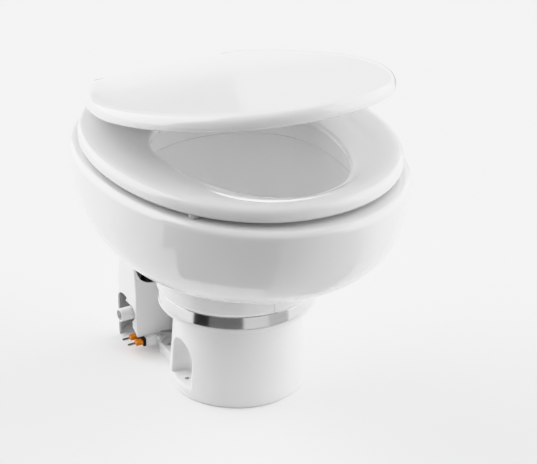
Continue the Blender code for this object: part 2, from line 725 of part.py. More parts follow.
def make_pedestal():
    """The moulded pedestal: tapered wall, clamp flange, side screw pockets, rear tongue and pump shelf."""
    flange_foot = BAND_BOTTOM - SEAT_GAP - FLANGE_LIP
    cone_foot = flange_foot - FLANGE_CONE
    flange_seat = PEDESTAL_TOP - SUMP_FLANGE - SEAT_GAP
    profile = [
        (0.0, 0.0), (FOOT_RADIUS - FOOT_ROUND, 0.0), (FOOT_RADIUS, FOOT_ROUND),
        (wall_radius(STEP_HEIGHT) - STEP_DEPTH, STEP_HEIGHT),
        (wall_radius(STEP_HEIGHT), STEP_HEIGHT + STEP_DEPTH),
        (wall_radius(cone_foot), cone_foot),
        *[(blend(WALL_TOP_RADIUS, FLANGE_RADIUS, out), blend(cone_foot, flange_foot, up))
          for out, up in FLANGE_CONE_SHARES],
        (FLANGE_RADIUS - STEP_DEPTH, flange_foot), (FLANGE_RADIUS, flange_foot + STEP_DEPTH),
        (FLANGE_RADIUS, BAND_BOTTOM - SEAT_GAP), (GRIP_RADIUS, BAND_BOTTOM - SEAT_GAP),
        (GRIP_RADIUS, PEDESTAL_TOP), (SUMP_FLANGE_RADIUS + SEAT_GAP, PEDESTAL_TOP),
        (SUMP_FLANGE_RADIUS + SEAT_GAP, flange_seat), (0.0, flange_seat),
    ]
    pedestal = turned("base_pedestal", profile, WHITE_PLASTIC, BASE_STEPS)
    shelf_plan = rounded_plan(
        PUMP_X - SHELF_HALF_WIDTH, PUMP_X + SHELF_HALF_WIDTH, 0.0, SHELF_REAR,
        FOOT_ROUND, FOOT_ROUND, steps=2,
    )
    lug_plan = rounded_plan(
        PUMP_X - LUG_HALF_WIDTH, PUMP_X + LUG_HALF_WIDTH, SHELF_REAR - LUG_THICKNESS, SHELF_REAR,
        STEP_DEPTH, STEP_DEPTH, steps=1,
    )
    join(
        pedestal, prism("tongue", tongue_outline(), 0.0, TONGUE_HEIGHT, None),
        prism("shelf", shelf_plan, 0.0, TONGUE_HEIGHT, None),
        prism("lug", lug_plan, TONGUE_HEIGHT - OVERRUN, TONGUE_HEIGHT + LUG_HEIGHT, None),
    )
    deck = PEDESTAL_TOP - DECK_THICKNESS
    hollow = turned(
        "pedestal_hollow",
        [(0.0, -OVERRUN), (FOOT_RADIUS - PEDESTAL_WALL - FOOT_ROUND, -OVERRUN),
         (wall_radius(deck) - PEDESTAL_WALL, deck), (DECK_BORE_RADIUS, deck),
         (DECK_BORE_RADIUS, PEDESTAL_TOP + OVERRUN), (0.0, PEDESTAL_TOP + OVERRUN)],
        None, BASE_STEPS,
    )
    boss_radius = POCKET_RADIUS + PEDESTAL_WALL
    boss_top = POCKET_TOP + PEDESTAL_WALL
    for side in (-1, 1):
        x = side * POCKET_CENTRE_X
        cut(hollow, capsule(f"pocket_boss_{side}", boss_radius, x, 0.0, -2 * OVERRUN, boss_top))
    cut(
        pedestal, hollow,
        rod("pipe_hole", PIPE_RADIUS + SEAT_GAP, (PIPE_X, 0, PIPE_HEIGHT),
            (PIPE_X, FOOT_RADIUS + OVERRUN, PIPE_HEIGHT), None),
    )
    for side in (-1, 1):
        x = side * POCKET_CENTRE_X
        ear_x, ear_y = side * EAR_HOLE_X, EAR_HOLE_Y
        cut(
            pedestal,
            capsule(f"screw_pocket_{side}", POCKET_RADIUS, x, 0.0, POCKET_FLOOR, POCKET_TOP),
            ear_pocket(side),
            rod(f"side_hole_{side}", FLOOR_HOLE_RADIUS, (side * SIDE_HOLE_X, 0, -OVERRUN),
                (side * SIDE_HOLE_X, 0, POCKET_FLOOR + OVERRUN), None, SMALL_STEPS),
            rod(f"ear_hole_{side}", FLOOR_HOLE_RADIUS, (ear_x, ear_y, -OVERRUN),
                (ear_x, ear_y, EAR_FLOOR + OVERRUN), None, SMALL_STEPS),
            cover_screw(f"lug_hole_{side}", side, COVER_SCREW_RADIUS + SEAT_GAP, -OVERRUN, None),
        )


def make_sump():
    """The cup under the bowl's outlet, which stands on the floor and drains through a pipe to the pump."""
    top = PEDESTAL_TOP
    flange = top - SUMP_FLANGE
    sump = turned(
        "sump",
        [(0.0, 0.0), (SUMP_BASE_RADIUS - SUMP_WALL, 0.0), (SUMP_BASE_RADIUS, SUMP_WALL),
         (SUMP_WAIST_RADIUS, SUMP_WAIST_HEIGHT), (SUMP_TOP_RADIUS, flange),
         (SUMP_FLANGE_RADIUS, flange), (SUMP_FLANGE_RADIUS, top), (0.0, top)],
        GREY_PLASTIC, BASE_STEPS,
    )
    slope = (SUMP_TOP_RADIUS - SUMP_WAIST_RADIUS) / (top - SUMP_WAIST_HEIGHT)
    well = turned(
        "sump_well",
        [(0.0, SUMP_FLOOR), (SUMP_BASE_RADIUS - 2 * SUMP_WALL, SUMP_FLOOR),
         (SUMP_BASE_RADIUS - SUMP_WALL, SUMP_FLOOR + SUMP_WALL),
         (SUMP_WAIST_RADIUS - SUMP_WALL, SUMP_WAIST_HEIGHT),
         (SUMP_TOP_RADIUS - SUMP_WALL + slope * OVERRUN, top + OVERRUN), (0.0, top + OVERRUN)],
        None, BASE_STEPS,
    )
    pipe = rod("outlet_pipe", PIPE_RADIUS, (PIPE_X, SUMP_BASE_RADIUS / 2, PIPE_HEIGHT),
               (PIPE_X, PIPE_END, PIPE_HEIGHT), None)
    bore = rod("outlet_bore", PIPE_RADIUS - PIPE_WALL, (PIPE_X, 0, PIPE_HEIGHT),
               (PIPE_X, PIPE_END + OVERRUN, PIPE_HEIGHT), None)
    join(sump, pipe)
    cut(sump, well, bore)


def make_gasket():
    outer = GRIP_RADIUS - SEAT_GAP
    inner = outer - GASKET_WIDTH
    bottom, top = GASKET_BOTTOM, GASKET_BOTTOM + GASKET_THICKNESS
    profile = [(inner, bottom), (outer, bottom), (outer, top), (inner, top)]
    turned("bowl_gasket", profile, RUBBER, RING_STEPS)


def ear_frame(out, across, height):
    """A point by the band's ears: out from the axis, across the gap, and its height."""
    c, s = math.cos(BAND_EAR_ANGLE), math.sin(BAND_EAR_ANGLE)
    return (out * c - across * s, out * s + across * c, height)


def make_band():
    """The stainless strip, open where its two ears are drawn together by the clamp bolt."""
    inner = FLANGE_RADIUS - BAND_THICKNESS
    half_gap = BAND_EAR_GAP / 2
    opening = math.asin(half_gap / inner)
    stations = []
    for step in range(RING_STEPS + 1):
        angle = BAND_EAR_ANGLE + opening + (math.tau - 2 * opening) * step / RING_STEPS
        c, s = math.cos(angle), math.sin(angle)
        stations.append([
            (radius * c, radius * s, height)
            for radius, height in (
                (inner, BAND_BOTTOM), (FLANGE_RADIUS, BAND_BOTTOM),
                (FLANGE_RADIUS, BAND_TOP), (inner, BAND_TOP))
        ])
    band = skin("clamp_band", stations, STAINLESS)
    bolt_out = FLANGE_RADIUS + BAND_EAR_REACH / 2
    bolt_height = BAND_BOTTOM + BAND_HEIGHT / 2
    for side in (-1, 1):
        near, far = side * half_gap, side * (half_gap + BAND_EAR_THICKNESS)
        low, high = min(near, far), max(near, far)
        corners = [
            [ear_frame(out, across, height) for out, across in (
                (inner + SEAT_GAP, low), (FLANGE_RADIUS + BAND_EAR_REACH, low),
                (FLANGE_RADIUS + BAND_EAR_REACH, high), (inner + SEAT_GAP, high))]
            for height in (BAND_BOTTOM, BAND_TOP)
        ]
        join(band, skin(f"band_ear_{side}", corners, None))
    reach = half_gap + BAND_EAR_THICKNESS
    cut(band, rod("band_bolt_hole", CLAMP_BOLT_RADIUS + SEAT_GAP,
                  ear_frame(bolt_out, -reach - OVERRUN, bolt_height),
                  ear_frame(bolt_out, reach + OVERRUN, bolt_height), None, SMALL_STEPS))
    head_start = reach + SEAT_GAP
    bolt = rod("clamp_bolt", CLAMP_BOLT_RADIUS, ear_frame(bolt_out, -reach - CLAMP_BOLT_SPARE, bolt_height),
               ear_frame(bolt_out, head_start + STEP_DEPTH, bolt_height), STAINLESS, SMALL_STEPS)
    join(bolt, rod("clamp_bolt_head", CLAMP_HEAD_RADIUS, ear_frame(bolt_out, head_start, bolt_height),
                   ear_frame(bolt_out, head_start + CLAMP_HEAD_LENGTH, bolt_height), None, SMALL_STEPS))
    nut = rod("clamp_nut", CLAMP_HEAD_RADIUS, ear_frame(bolt_out, -head_start, bolt_height),
              ear_frame(bolt_out, -head_start - CLAMP_HEAD_LENGTH, bolt_height), STAINLESS, NUT_SIDES)
    cut(nut, rod("clamp_nut_bore", CLAMP_BOLT_RADIUS + SEAT_GAP,
                 ear_frame(bolt_out, -head_start + OVERRUN, bolt_height),
                 ear_frame(bolt_out, -head_start - CLAMP_HEAD_LENGTH - OVERRUN, bolt_height),
                 None, SMALL_STEPS))


def belly_ring(share, inset=0.0):
    """A ring of the belly: share 0 is its foot on the collar, and 1 the widest level under the rim."""
    wide = egg_outline(BOWL_EGG, inset)
    foot = aligned_circle(COLLAR_RADIUS - inset, wide)
    spread = (1 - (1 - share) ** BELLY_RISE_POWER) ** (1 / BELLY_SPREAD_POWER)
    return blended(foot, wide, spread)


def basin_ring(share, outset=0.0):
    """A ring of the basin: share 0 is at the drain, and 1 under the rim."""
    wide = egg_outline(MOUTH_EGG, -outset - RIM_UNDERCUT)
    foot = aligned_circle(DRAIN_RADIUS + outset, wide)
    spread = (1 - (1 - share) ** BASIN_POWER) ** (1 / BASIN_SPREAD_POWER)
    return blended(foot, wide, spread)


def make_bowl():
    """The ceramic shell: collar, belly, rim, basin and outlet spout, hollow between belly and basin."""
    mouth = egg_outline(MOUTH_EGG)
    wide = egg_outline(BOWL_EGG)
    spout_foot = BASIN_FOOT - DRAIN_DROP
    shoulder = BAND_TOP + SEAT_GAP
    rings = []

    def circle(radius, height):
        rings.append(at_height(aligned_circle(radius, wide), height))

    # Outside: collar, belly and rim
    circle(GRIP_RADIUS - COLLAR_WALL, BOWL_BOTTOM)
    circle(GRIP_RADIUS - STEP_DEPTH, BOWL_BOTTOM)
    circle(GRIP_RADIUS, BOWL_BOTTOM + STEP_DEPTH)
    circle(GRIP_RADIUS, shoulder)
    circle(FLANGE_RADIUS, shoulder + STEP_DEPTH)
    circle(COLLAR_RADIUS, shoulder + COLLAR_SHOULDER)
    circle(COLLAR_RADIUS, blend(shoulder, BELLY_BOTTOM, COLLAR_TOP_SHARE))
    for share in BELLY_SHARES:
        rings.append(at_height(belly_ring(share), BELLY_BOTTOM + share * BELLY_RISE))
    for angle in RIM_ROUND_ANGLES:
        turn = math.radians(angle)
        inset = RIM_ROUND * (1 - math.cos(turn))
        height = RIM_TOP - RIM_ROUND * (1 - math.sin(turn))
        rings.append(at_height(egg_outline(BOWL_EGG, inset), height))
    # Inside: mouth, undercut, basin and outlet
    lip = RIM_ROUND / 2
    rings.append(at_height(egg_outline(MOUTH_EGG, -lip), RIM_TOP))
    rings.append(at_height(mouth, RIM_TOP - lip))
    rings.append(at_height(mouth, BASIN_TOP + lip))
    rings.append(at_height(egg_outline(MOUTH_EGG, -lip / 3), BASIN_TOP))
    for share in BASIN_SHARES:
        rings.append(at_height(basin_ring(share), BASIN_FOOT + share * BASIN_DEPTH))
    circle(DRAIN_RADIUS, BASIN_FOOT - DRAIN_RADIUS / 4)
    circle(DRAIN_RADIUS, spout_foot)
    # Hidden side: back up the spout, under the basin and rim, and down inside the belly
    circle(DRAIN_RADIUS + CERAMIC_WALL, spout_foot)
    circle(DRAIN_RADIUS + CERAMIC_WALL, BASIN_FOOT - CERAMIC_WALL)
    for share in BASIN_UNDERSIDE_SHARES:
        height = BASIN_FOOT - CERAMIC_WALL + share * BASIN_DEPTH
        rings.append(at_height(basin_ring(share, CERAMIC_WALL), height))
    rings.append(at_height(basin_ring(1.0, CERAMIC_WALL), RIM_TOP - CERAMIC_WALL))
    under_rim = egg_outline(BOWL_EGG, RIM_ROUND + CERAMIC_WALL / 2)
    rings.append(at_height(under_rim, RIM_TOP - CERAMIC_WALL))
    for share in BELLY_INSIDE_SHARES:
        height = BELLY_BOTTOM + CERAMIC_WALL + share * BELLY_RISE
        rings.append(at_height(belly_ring(share, CERAMIC_WALL), height))
    circle(COLLAR_RADIUS - COLLAR_WALL, BELLY_BOTTOM)
    bowl = skin("bowl", rings, CERAMIC, closed=True)
    for side in (-1, 1):
        x, y = side * HINGE_SPACING / 2, HINGE_Y
        cut(bowl, rod(f"rim_hole_{side}", RIM_HOLE_RADIUS, (x, y, RIM_TOP - CERAMIC_WALL - OVERRUN),
                      (x, y, RIM_TOP + OVERRUN), None, SMALL_STEPS))
    boss_face = BOWL_BACK + SPUD_BOSS
    join(bowl, rod("spud_boss", SPUD_BOSS_RADIUS, (0, BOWL_BACK - CERAMIC_WALL, SPUD_HEIGHT),
                   (0, boss_face, SPUD_HEIGHT), None))
    cut(bowl, rod("spud_hole", SPUD_RADIUS + SEAT_GAP, (0, BOWL_BACK - 2 * CERAMIC_WALL, SPUD_HEIGHT),
                  (0, boss_face + OVERRUN, SPUD_HEIGHT), None))


def barb_profile(radius, bore, start, length):
    """Radius and height down a hose barb from its root, with its teeth, and back up its bore."""
    profile = [(radius, start)]
    for tooth in range(BARB_COUNT):
        top = start - length + (BARB_COUNT - tooth) * BARB_PITCH
        profile += [
            (radius, top), (radius + BARB_STEP, top - BARB_STEP / 4),
            (radius, top - BARB_PITCH + BARB_STEP),
        ]
    profile += [(radius - BARB_STEP / 2, start - length), (bore, start - length)]
    return profile


def make_spud():
    """The rinse water inlet: a flanged elbow in the back of the bowl with a hose barb that points down."""
    face = BOWL_BACK + SPUD_BOSS + SEAT_GAP
    elbow_y = face + SPUD_REACH
    spud = rod("rinse_inlet", SPUD_RADIUS, (0, BOWL_BACK - 1.5 * CERAMIC_WALL, SPUD_HEIGHT),
               (0, elbow_y, SPUD_HEIGHT), WHITE_PLASTIC)
    flange = rod("spud_flange", SPUD_FLANGE_RADIUS, (0, face, SPUD_HEIGHT),
                 (0, face + SPUD_FLANGE, SPUD_HEIGHT), None)
    barb_root = SPUD_HEIGHT + SPUD_RADIUS / 2
    barb = turned(
        "spud_barb",
        [(0.0, barb_root), *barb_profile(BARB_RADIUS, 0.0, barb_root, SPUD_DROP + SPUD_RADIUS / 2)],
        None, y=elbow_y - BARB_RADIUS,
    )
    join(spud, flange, barb)
    cut(
        spud,
        rod("spud_bore", BARB_BORE_RADIUS, (0, BOWL_BACK - 2 * CERAMIC_WALL, SPUD_HEIGHT),
            (0, elbow_y - BARB_RADIUS, SPUD_HEIGHT), None, SMALL_STEPS),
        rod("barb_bore", BARB_BORE_RADIUS, (0, elbow_y - BARB_RADIUS, SPUD_HEIGHT),
            (0, elbow_y - BARB_RADIUS, SPUD_HEIGHT - SPUD_DROP - OVERRUN), None, SMALL_STEPS),
    )


def seat_rings():
    """Sections of the seat, from its outer lower edge over the crest to the opening and back below."""
    edge = SEAT_THICKNESS

    def outer(inset, height):
        return at_height(egg_outline(SEAT_EGG, inset, SEAT_BACK, SEAT_CORNER), SEAT_BOTTOM + height)

    def inner(outset, height):
        return at_height(egg_outline(OPENING_EGG, -outset), SEAT_BOTTOM + height)

    outline = egg_outline(SEAT_EGG, edge, SEAT_BACK, SEAT_CORNER)
    middle = blended(outline, egg_outline(OPENING_EGG), 0.5)
    middle_top = SEAT_TOP - SEAT_MIDDLE_SHARE * SEAT_DISH
    inner_top = edge - SEAT_DISH
    under = SEAT_UNDER_SHARE * SEAT_DISH
    return [
        *[outer(inset_share * edge, up_share * edge) for inset_share, up_share in SEAT_OUTER_SHARES],
        at_height(middle, middle_top),
        *[inner(out_share * SEAT_DISH, inner_top + up_share * SEAT_DISH)
          for out_share, up_share in SEAT_INNER_SHARES],
        inner(0.0, under), inner(under, 0.0),
    ]


def make_seat(axis):
    seat = skin("seat_ring", seat_rings(), SEAT_WHITE, closed=True)
    pieces = [seat]
    foot, top = RIM_TOP + SEAT_GAP, SEAT_BOTTOM - SEAT_GAP
    for name, angle in (("front", -SEAT_BUMPER_FRONT_ANGLE), ("rear", SEAT_BUMPER_REAR_ANGLE)):
        x, y = egg_point(SEAT_EGG, angle, SEAT_BUMPER_INSET)
        for side, word in ((-1, "right"), (1, "left")):
            pieces.append(turned(
                f"seat_bumper_{name}_{word}",
                [(0.0, foot), (SEAT_BUMPER_RADIUS - STEP_DEPTH, foot),
                 (SEAT_BUMPER_RADIUS, foot + STEP_DEPTH), (SEAT_BUMPER_RADIUS, top), (0.0, top)],
                RUBBER, SMALL_STEPS, side * x, y,
            ))
    for side, word in ((-1, "right"), (1, "left")):
        pieces.append(make_seat_leaf(side, word))
    carry(axis, *pieces)


def hinge_layout():
    """Where each hinge part begins and ends along the pin, outwards from the middle of the toilet."""
    post_near = HINGE_SPACING / 2 - POST_WIDTH / 2
    post_far = post_near + POST_WIDTH
    seat_far = post_near - RUNNING_GAP
    seat_near = seat_far - SEAT_BARREL_WIDTH
    lid_near = post_far + RUNNING_GAP
    lid_far = lid_near + LID_BARREL_WIDTH
    return seat_near, seat_far, post_near, post_far, lid_near, lid_far


def barrel(name, side, near, far):
    return rod(name, BARREL_RADIUS, (side * near, HINGE_Y, HINGE_Z), (side * far, HINGE_Y, HINGE_Z), None)


def pin_bore(name, side, near, far):
    return rod(name, HINGE_PIN_RADIUS + RUNNING_GAP, (side * (near - OVERRUN), HINGE_Y, HINGE_Z),
               (side * (far + OVERRUN), HINGE_Y, HINGE_Z), None, SMALL_STEPS)


def spans(side, near, far):
    return min(side * near, side * far), max(side * near, side * far)


def make_seat_leaf(side, word):
    """The seat's hinge leaf: a plate under the seat, a riser behind it and a barrel on the pin."""
    seat_near, seat_far, post_near, _, _, _ = hinge_layout()
    top = SEAT_BOTTOM - SEAT_GAP
    riser_front, riser_rear = SEAT_BACK + SEAT_GAP, HINGE_Y - BARREL_RADIUS / 4
    left, right = spans(side, post_near - LEAF_NARROWING - LEAF_WIDTH, post_near - LEAF_NARROWING)
    plate = block(f"seat_leaf_{word}", (left, SEAT_BACK - LEAF_LENGTH, top - LEAF_THICKNESS),
                  (right, riser_rear, top), STAINLESS)
    left, right = spans(side, seat_near, post_near - LEAF_NARROWING)
    riser = block(f"seat_riser_{word}", (left, riser_front, top - LEAF_THICKNESS),
                  (right, riser_rear, HINGE_Z), None)
    join(plate, riser, barrel(f"seat_barrel_{word}", side, seat_near, seat_far))
    cut(plate, pin_bore(f"seat_bore_{word}", side, seat_near, seat_far))
    return plate


def make_posts_and_pins():
    """The hinge posts with their studs, sleeves and nuts, and the pins that carry the seat and the lid."""
    seat_near, _, post_near, post_far, _, lid_far = hinge_layout()
    foot = RIM_TOP + SEAT_GAP
    foot_top = foot + POST_FOOT_THICKNESS
    for side, word in ((-1, "right"), (1, "left")):
        x = side * HINGE_SPACING / 2
        left, right = spans(side, post_near, post_far)
        post = rod(f"hinge_post_{word}", POST_FOOT_RADIUS, (x, HINGE_Y, foot), (x, HINGE_Y, foot_top),
                   STAINLESS)
        column = block(f"post_column_{word}", (left, HINGE_Y - POST_DEPTH / 2, foot_top - STEP_DEPTH),
                       (right, HINGE_Y + POST_DEPTH / 2, HINGE_Z), None)
        join(post, column, barrel(f"post_barrel_{word}", side, post_near, post_far))
        stud_top = foot + STUD_DEPTH
        cut(post, pin_bore(f"post_bore_{word}", side, post_near, post_far),
            rod(f"stud_bore_{word}", STUD_RADIUS + SEAT_GAP, (x, HINGE_Y, foot - OVERRUN),
                (x, HINGE_Y, stud_top + SEAT_GAP), None, SMALL_STEPS))
        sleeve_top = RIM_TOP
        sleeve_foot = RIM_TOP - CERAMIC_WALL - SLEEVE_SPARE
        turned(f"hinge_sleeve_{word}",
               [(STUD_RADIUS + SEAT_GAP, sleeve_foot), (SLEEVE_RADIUS, sleeve_foot),
                (SLEEVE_RADIUS, sleeve_top), (STUD_RADIUS + SEAT_GAP, sleeve_top)],
               RUBBER, SMALL_STEPS, x, HINGE_Y)
        nut_top = sleeve_foot - SEAT_GAP
        nut_foot = nut_top - HINGE_NUT_HEIGHT
        nut = rod(f"hinge_nut_{word}", HINGE_NUT_RADIUS, (x, HINGE_Y, nut_foot), (x, HINGE_Y, nut_top),
                  STAINLESS, NUT_SIDES)
        cut(nut, rod(f"nut_bore_{word}", STUD_RADIUS + SEAT_GAP, (x, HINGE_Y, nut_foot - OVERRUN),
                     (x, HINGE_Y, nut_top + OVERRUN), None, SMALL_STEPS))
        rod(f"hinge_stud_{word}", STUD_RADIUS, (x, HINGE_Y, nut_foot - STEP_DEPTH), (x, HINGE_Y, stud_top),
            STAINLESS, SMALL_STEPS)
        near, far = seat_near - SEAT_GAP, lid_far + SEAT_GAP
        pin = rod(f"hinge_pin_{word}", HINGE_PIN_RADIUS, (side * (near - PIN_HEAD / 2), HINGE_Y, HINGE_Z),
                  (side * (far + PIN_HEAD / 2), HINGE_Y, HINGE_Z), STAINLESS, SMALL_STEPS)
        for end, start, stop in (("near", near - PIN_HEAD, near), ("far", far, far + PIN_HEAD)):
            join(pin, rod(f"pin_head_{end}_{word}", PIN_HEAD_RADIUS, (side * start, HINGE_Y, HINGE_Z),
                          (side * stop, HINGE_Y, HINGE_Z), None, SMALL_STEPS))


def lid_rings():
    """Sections of the lid, from its underside round the soft edge to the slightly crowned top."""
    rings = []
    for inset_share, up_share in LID_SECTION_SHARES:
        outline = egg_outline(LID_EGG, inset_share * LID_EDGE, LID_BACK, LID_CORNER)
        rings.append(at_height(outline, LID_BOTTOM + up_share * LID_THICKNESS))
    return rings


def make_lid(axis):
    """The lid with its hinge leaves and buffers, drawn shut and then turned ajar with its axis."""
    _, _, _, post_far, lid_near, lid_far = hinge_layout()
    pieces = [skin("lid_panel", lid_rings(), SEAT_WHITE)]
    for side, word in ((-1, "right"), (1, "left")):
        back = LID_BACK + SEAT_GAP
        left, right = spans(side, post_far - LEAF_NARROWING, lid_far + LEAF_NARROWING)
        plate = block(f"lid_leaf_{word}", (left, back, LID_BOTTOM + LID_LIFT),
                      (right, back + LEAF_THICKNESS, LID_BOTTOM + LID_THICKNESS - LID_LIFT), STAINLESS)
        left, right = spans(side, lid_near, lid_far)
        arm = block(f"lid_arm_{word}", (left, back + LEAF_THICKNESS / 2, LID_BOTTOM + LID_LIFT),
                    (right, HINGE_Y, HINGE_Z + LID_ARM_SHARE * BARREL_RADIUS), None)
        join(plate, arm, barrel(f"lid_barrel_{word}", side, lid_near, lid_far))
        cut(plate, pin_bore(f"lid_bore_{word}", side, lid_near, lid_far))
        pieces.append(plate)
    x, y = egg_point(LID_EGG, -LID_BUMPER_ANGLE, LID_BUMPER_INSET)
    top = LID_BOTTOM - SEAT_GAP
    for side, word in ((-1, "right"), (1, "left")):
        pieces.append(turned(
            f"lid_bumper_{word}",
            [(0.0, SEAT_TOP + SEAT_GAP), (LID_BUMPER_RADIUS, SEAT_TOP + SEAT_GAP),
             (LID_BUMPER_RADIUS, top), (0.0, top)],
            RUBBER, SMALL_STEPS, side * x, y,
        ))
    carry(axis, *pieces)
    axis.rotation_euler = (-LID_AJAR, 0.0, 0.0)


def make_pump_housing():
    """The pump's wet end: cutter chamber, side inlet, tangential spigot, vent nipple and screw ears."""
    floor = PUMP_BOTTOM + CHAMBER_FLOOR
    housing = turned(
        "pump_housing",
        [(0.0, PUMP_BOTTOM), (PUMP_RADIUS, PUMP_BOTTOM), (PUMP_RADIUS, PUMP_TOP), (0.0, PUMP_TOP)],
        WHITE_PLASTIC, PUMP_STEPS, PUMP_X, PUMP_Y,
    )
    inlet_front = PIPE_END + PIPE_JOINT_GAP
    join(
        housing,
        rod("pump_inlet", PIPE_RADIUS, (PIPE_X, inlet_front, PIPE_HEIGHT),
            (PIPE_X, PUMP_Y - CHAMBER_RADIUS, PIPE_HEIGHT), None),
        rod("spigot", SPIGOT_RADIUS, (PUMP_X, SPIGOT_Y, SPIGOT_HEIGHT),
            (SPIGOT_END_X, SPIGOT_Y, SPIGOT_HEIGHT), None, end_radius=SPIGOT_RADIUS - SPIGOT_TAPER),
        rod("nipple", NIPPLE_RADIUS, (NIPPLE_X, SPIGOT_Y, NIPPLE_HEIGHT),
            (NIPPLE_X, NIPPLE_END_Y, NIPPLE_HEIGHT), None, SMALL_STEPS),
    )
    for number in range(PUMP_SCREW_COUNT):
        x, y = ear_place(number)
        foot = PUMP_TOP - PUMP_SCREW_DEPTH - OVERRUN
        join(housing, rod(f"pump_ear_{number}", PUMP_EAR_RADIUS, (x, y, foot), (x, y, PUMP_TOP),
                          None, SMALL_STEPS))
    bore = SPIGOT_RADIUS - SPIGOT_WALL
    cut(
        housing,
        rod("chamber", CHAMBER_RADIUS, (PUMP_X, PUMP_Y, floor), (PUMP_X, PUMP_Y, PUMP_TOP + OVERRUN),
            None, PUMP_STEPS),
        rod("inlet_bore", PIPE_RADIUS - PIPE_WALL, (PIPE_X, inlet_front - OVERRUN, PIPE_HEIGHT),
            (PIPE_X, PUMP_Y, PIPE_HEIGHT), None),
        rod("spigot_bore", bore, (PUMP_X, SPIGOT_Y, SPIGOT_HEIGHT),
            (SPIGOT_END_X - OVERRUN, SPIGOT_Y, SPIGOT_HEIGHT), None),
        rod("nipple_bore", NIPPLE_BORE_RADIUS, (NIPPLE_X, SPIGOT_Y, NIPPLE_HEIGHT),
            (NIPPLE_X, NIPPLE_END_Y + OVERRUN, NIPPLE_HEIGHT), None, SMALL_STEPS),
    )
    for number in range(PUMP_SCREW_COUNT):
        x, y = ear_place(number)
        cut(housing, rod(f"ear_bore_{number}", PUMP_SCREW_RADIUS + SEAT_GAP,
                         (x, y, PUMP_TOP - PUMP_SCREW_DEPTH - SEAT_GAP), (x, y, PUMP_TOP + OVERRUN),
                         None, SMALL_STEPS))


def ear_place(number):
    """The centre of one screw ear; the ears stand evenly round the pump, clear of the spigot."""
    angle = math.tau * number / PUMP_SCREW_COUNT + PUMP_EAR_ANGLE
    return PUMP_X + PUMP_EAR_CIRCLE * math.cos(angle), PUMP_Y + PUMP_EAR_CIRCLE * math.sin(angle)


def make_inlet_sleeve():
    """The rubber sleeve over the joint between the sump's pipe and the pump's inlet."""
    inner = PIPE_RADIUS + SEAT_GAP
    outer = inner + SLEEVE_THICKNESS
    start, end = PIPE_END - SLEEVE_LAP, PIPE_END + PIPE_JOINT_GAP / 2
    sleeve = rod("inlet_sleeve", outer, (PIPE_X, start, PIPE_HEIGHT), (PIPE_X, end, PIPE_HEIGHT), RUBBER)
    cut(sleeve, rod("sleeve_bore", inner, (PIPE_X, start - OVERRUN, PIPE_HEIGHT),
                    (PIPE_X, end + OVERRUN, PIPE_HEIGHT), None))


def make_seal_plate():
    """The plate between the wet end and the motor, with the shaft seal pressed in from the wet side."""
    bottom = PUMP_TOP + SEAT_GAP
    top = bottom + SEAL_PLATE_THICKNESS
    plate = turned("seal_plate", [(0.0, bottom), (PUMP_RADIUS, bottom), (PUMP_RADIUS, top), (0.0, top)],
                   BLACK_PLASTIC, PUMP_STEPS, PUMP_X, PUMP_Y)
    for number in range(PUMP_SCREW_COUNT):
        x, y = ear_place(number)
        join(plate, rod(f"plate_ear_{number}", PUMP_EAR_RADIUS, (x, y, bottom), (x, y, top),
                        None, SMALL_STEPS))
    cut(plate, rod("plate_shaft_hole", SHAFT_RADIUS + RUNNING_GAP, (PUMP_X, PUMP_Y, bottom - OVERRUN),
                   (PUMP_X, PUMP_Y, top + OVERRUN), None, SMALL_STEPS))
    for number in range(PUMP_SCREW_COUNT):
        x, y = ear_place(number)
        cut(plate, rod(f"plate_hole_{number}", PUMP_SCREW_RADIUS + SEAT_GAP, (x, y, bottom - OVERRUN),
                       (x, y, top + OVERRUN), None, SMALL_STEPS))
        head = top + SEAT_GAP
        screw = rod(f"pump_screw_{number + 1}", PUMP_SCREW_RADIUS, (x, y, PUMP_TOP - PUMP_SCREW_DEPTH),
                    (x, y, head + PUMP_SCREW_HEAD / 2), STAINLESS, SMALL_STEPS)
        join(screw, rod(f"screw_head_{number}", PUMP_SCREW_HEAD_RADIUS, (x, y, head),
                        (x, y, head + PUMP_SCREW_HEAD), None, SMALL_STEPS))
    seal_top = PUMP_TOP
    seal_foot = seal_top - SHAFT_SEAL_LENGTH
    turned("shaft_seal",
           [(SHAFT_RADIUS + RUNNING_GAP, seal_foot), (SHAFT_SEAL_RADIUS, seal_foot),
            (SHAFT_SEAL_RADIUS, seal_top), (SHAFT_RADIUS + RUNNING_GAP, seal_top)],
           RUBBER, ROUND_STEPS, PUMP_X, PUMP_Y)


def make_cutter_plate():
    """The fixed plate of holes that the blade sweeps under, held in the chamber wall."""
    plate = rod("cutter_plate", CHAMBER_RADIUS - SEAT_GAP, (PUMP_X, PUMP_Y, CUTTER_PLATE_HEIGHT),
                (PUMP_X, PUMP_Y, CUTTER_PLATE_HEIGHT + CUTTER_PLATE_THICKNESS), STAINLESS, PUMP_STEPS)
    low, high = CUTTER_PLATE_HEIGHT - OVERRUN, CUTTER_PLATE_HEIGHT + CUTTER_PLATE_THICKNESS + OVERRUN
    cut(plate, rod("cutter_shaft_hole", SHAFT_RADIUS + RUNNING_GAP, (PUMP_X, PUMP_Y, low),
                   (PUMP_X, PUMP_Y, high), None, SMALL_STEPS))
    for number in range(CUTTER_HOLES):
        angle = math.tau * number / CUTTER_HOLES
        x = PUMP_X + CUTTER_HOLE_CIRCLE * math.cos(angle)
        y = PUMP_Y + CUTTER_HOLE_CIRCLE * math.sin(angle)
        cut(plate, rod(f"cutter_hole_{number}", CUTTER_HOLE_RADIUS, (x, y, low), (x, y, high),
                       None, CUTTER_HOLE_STEPS))


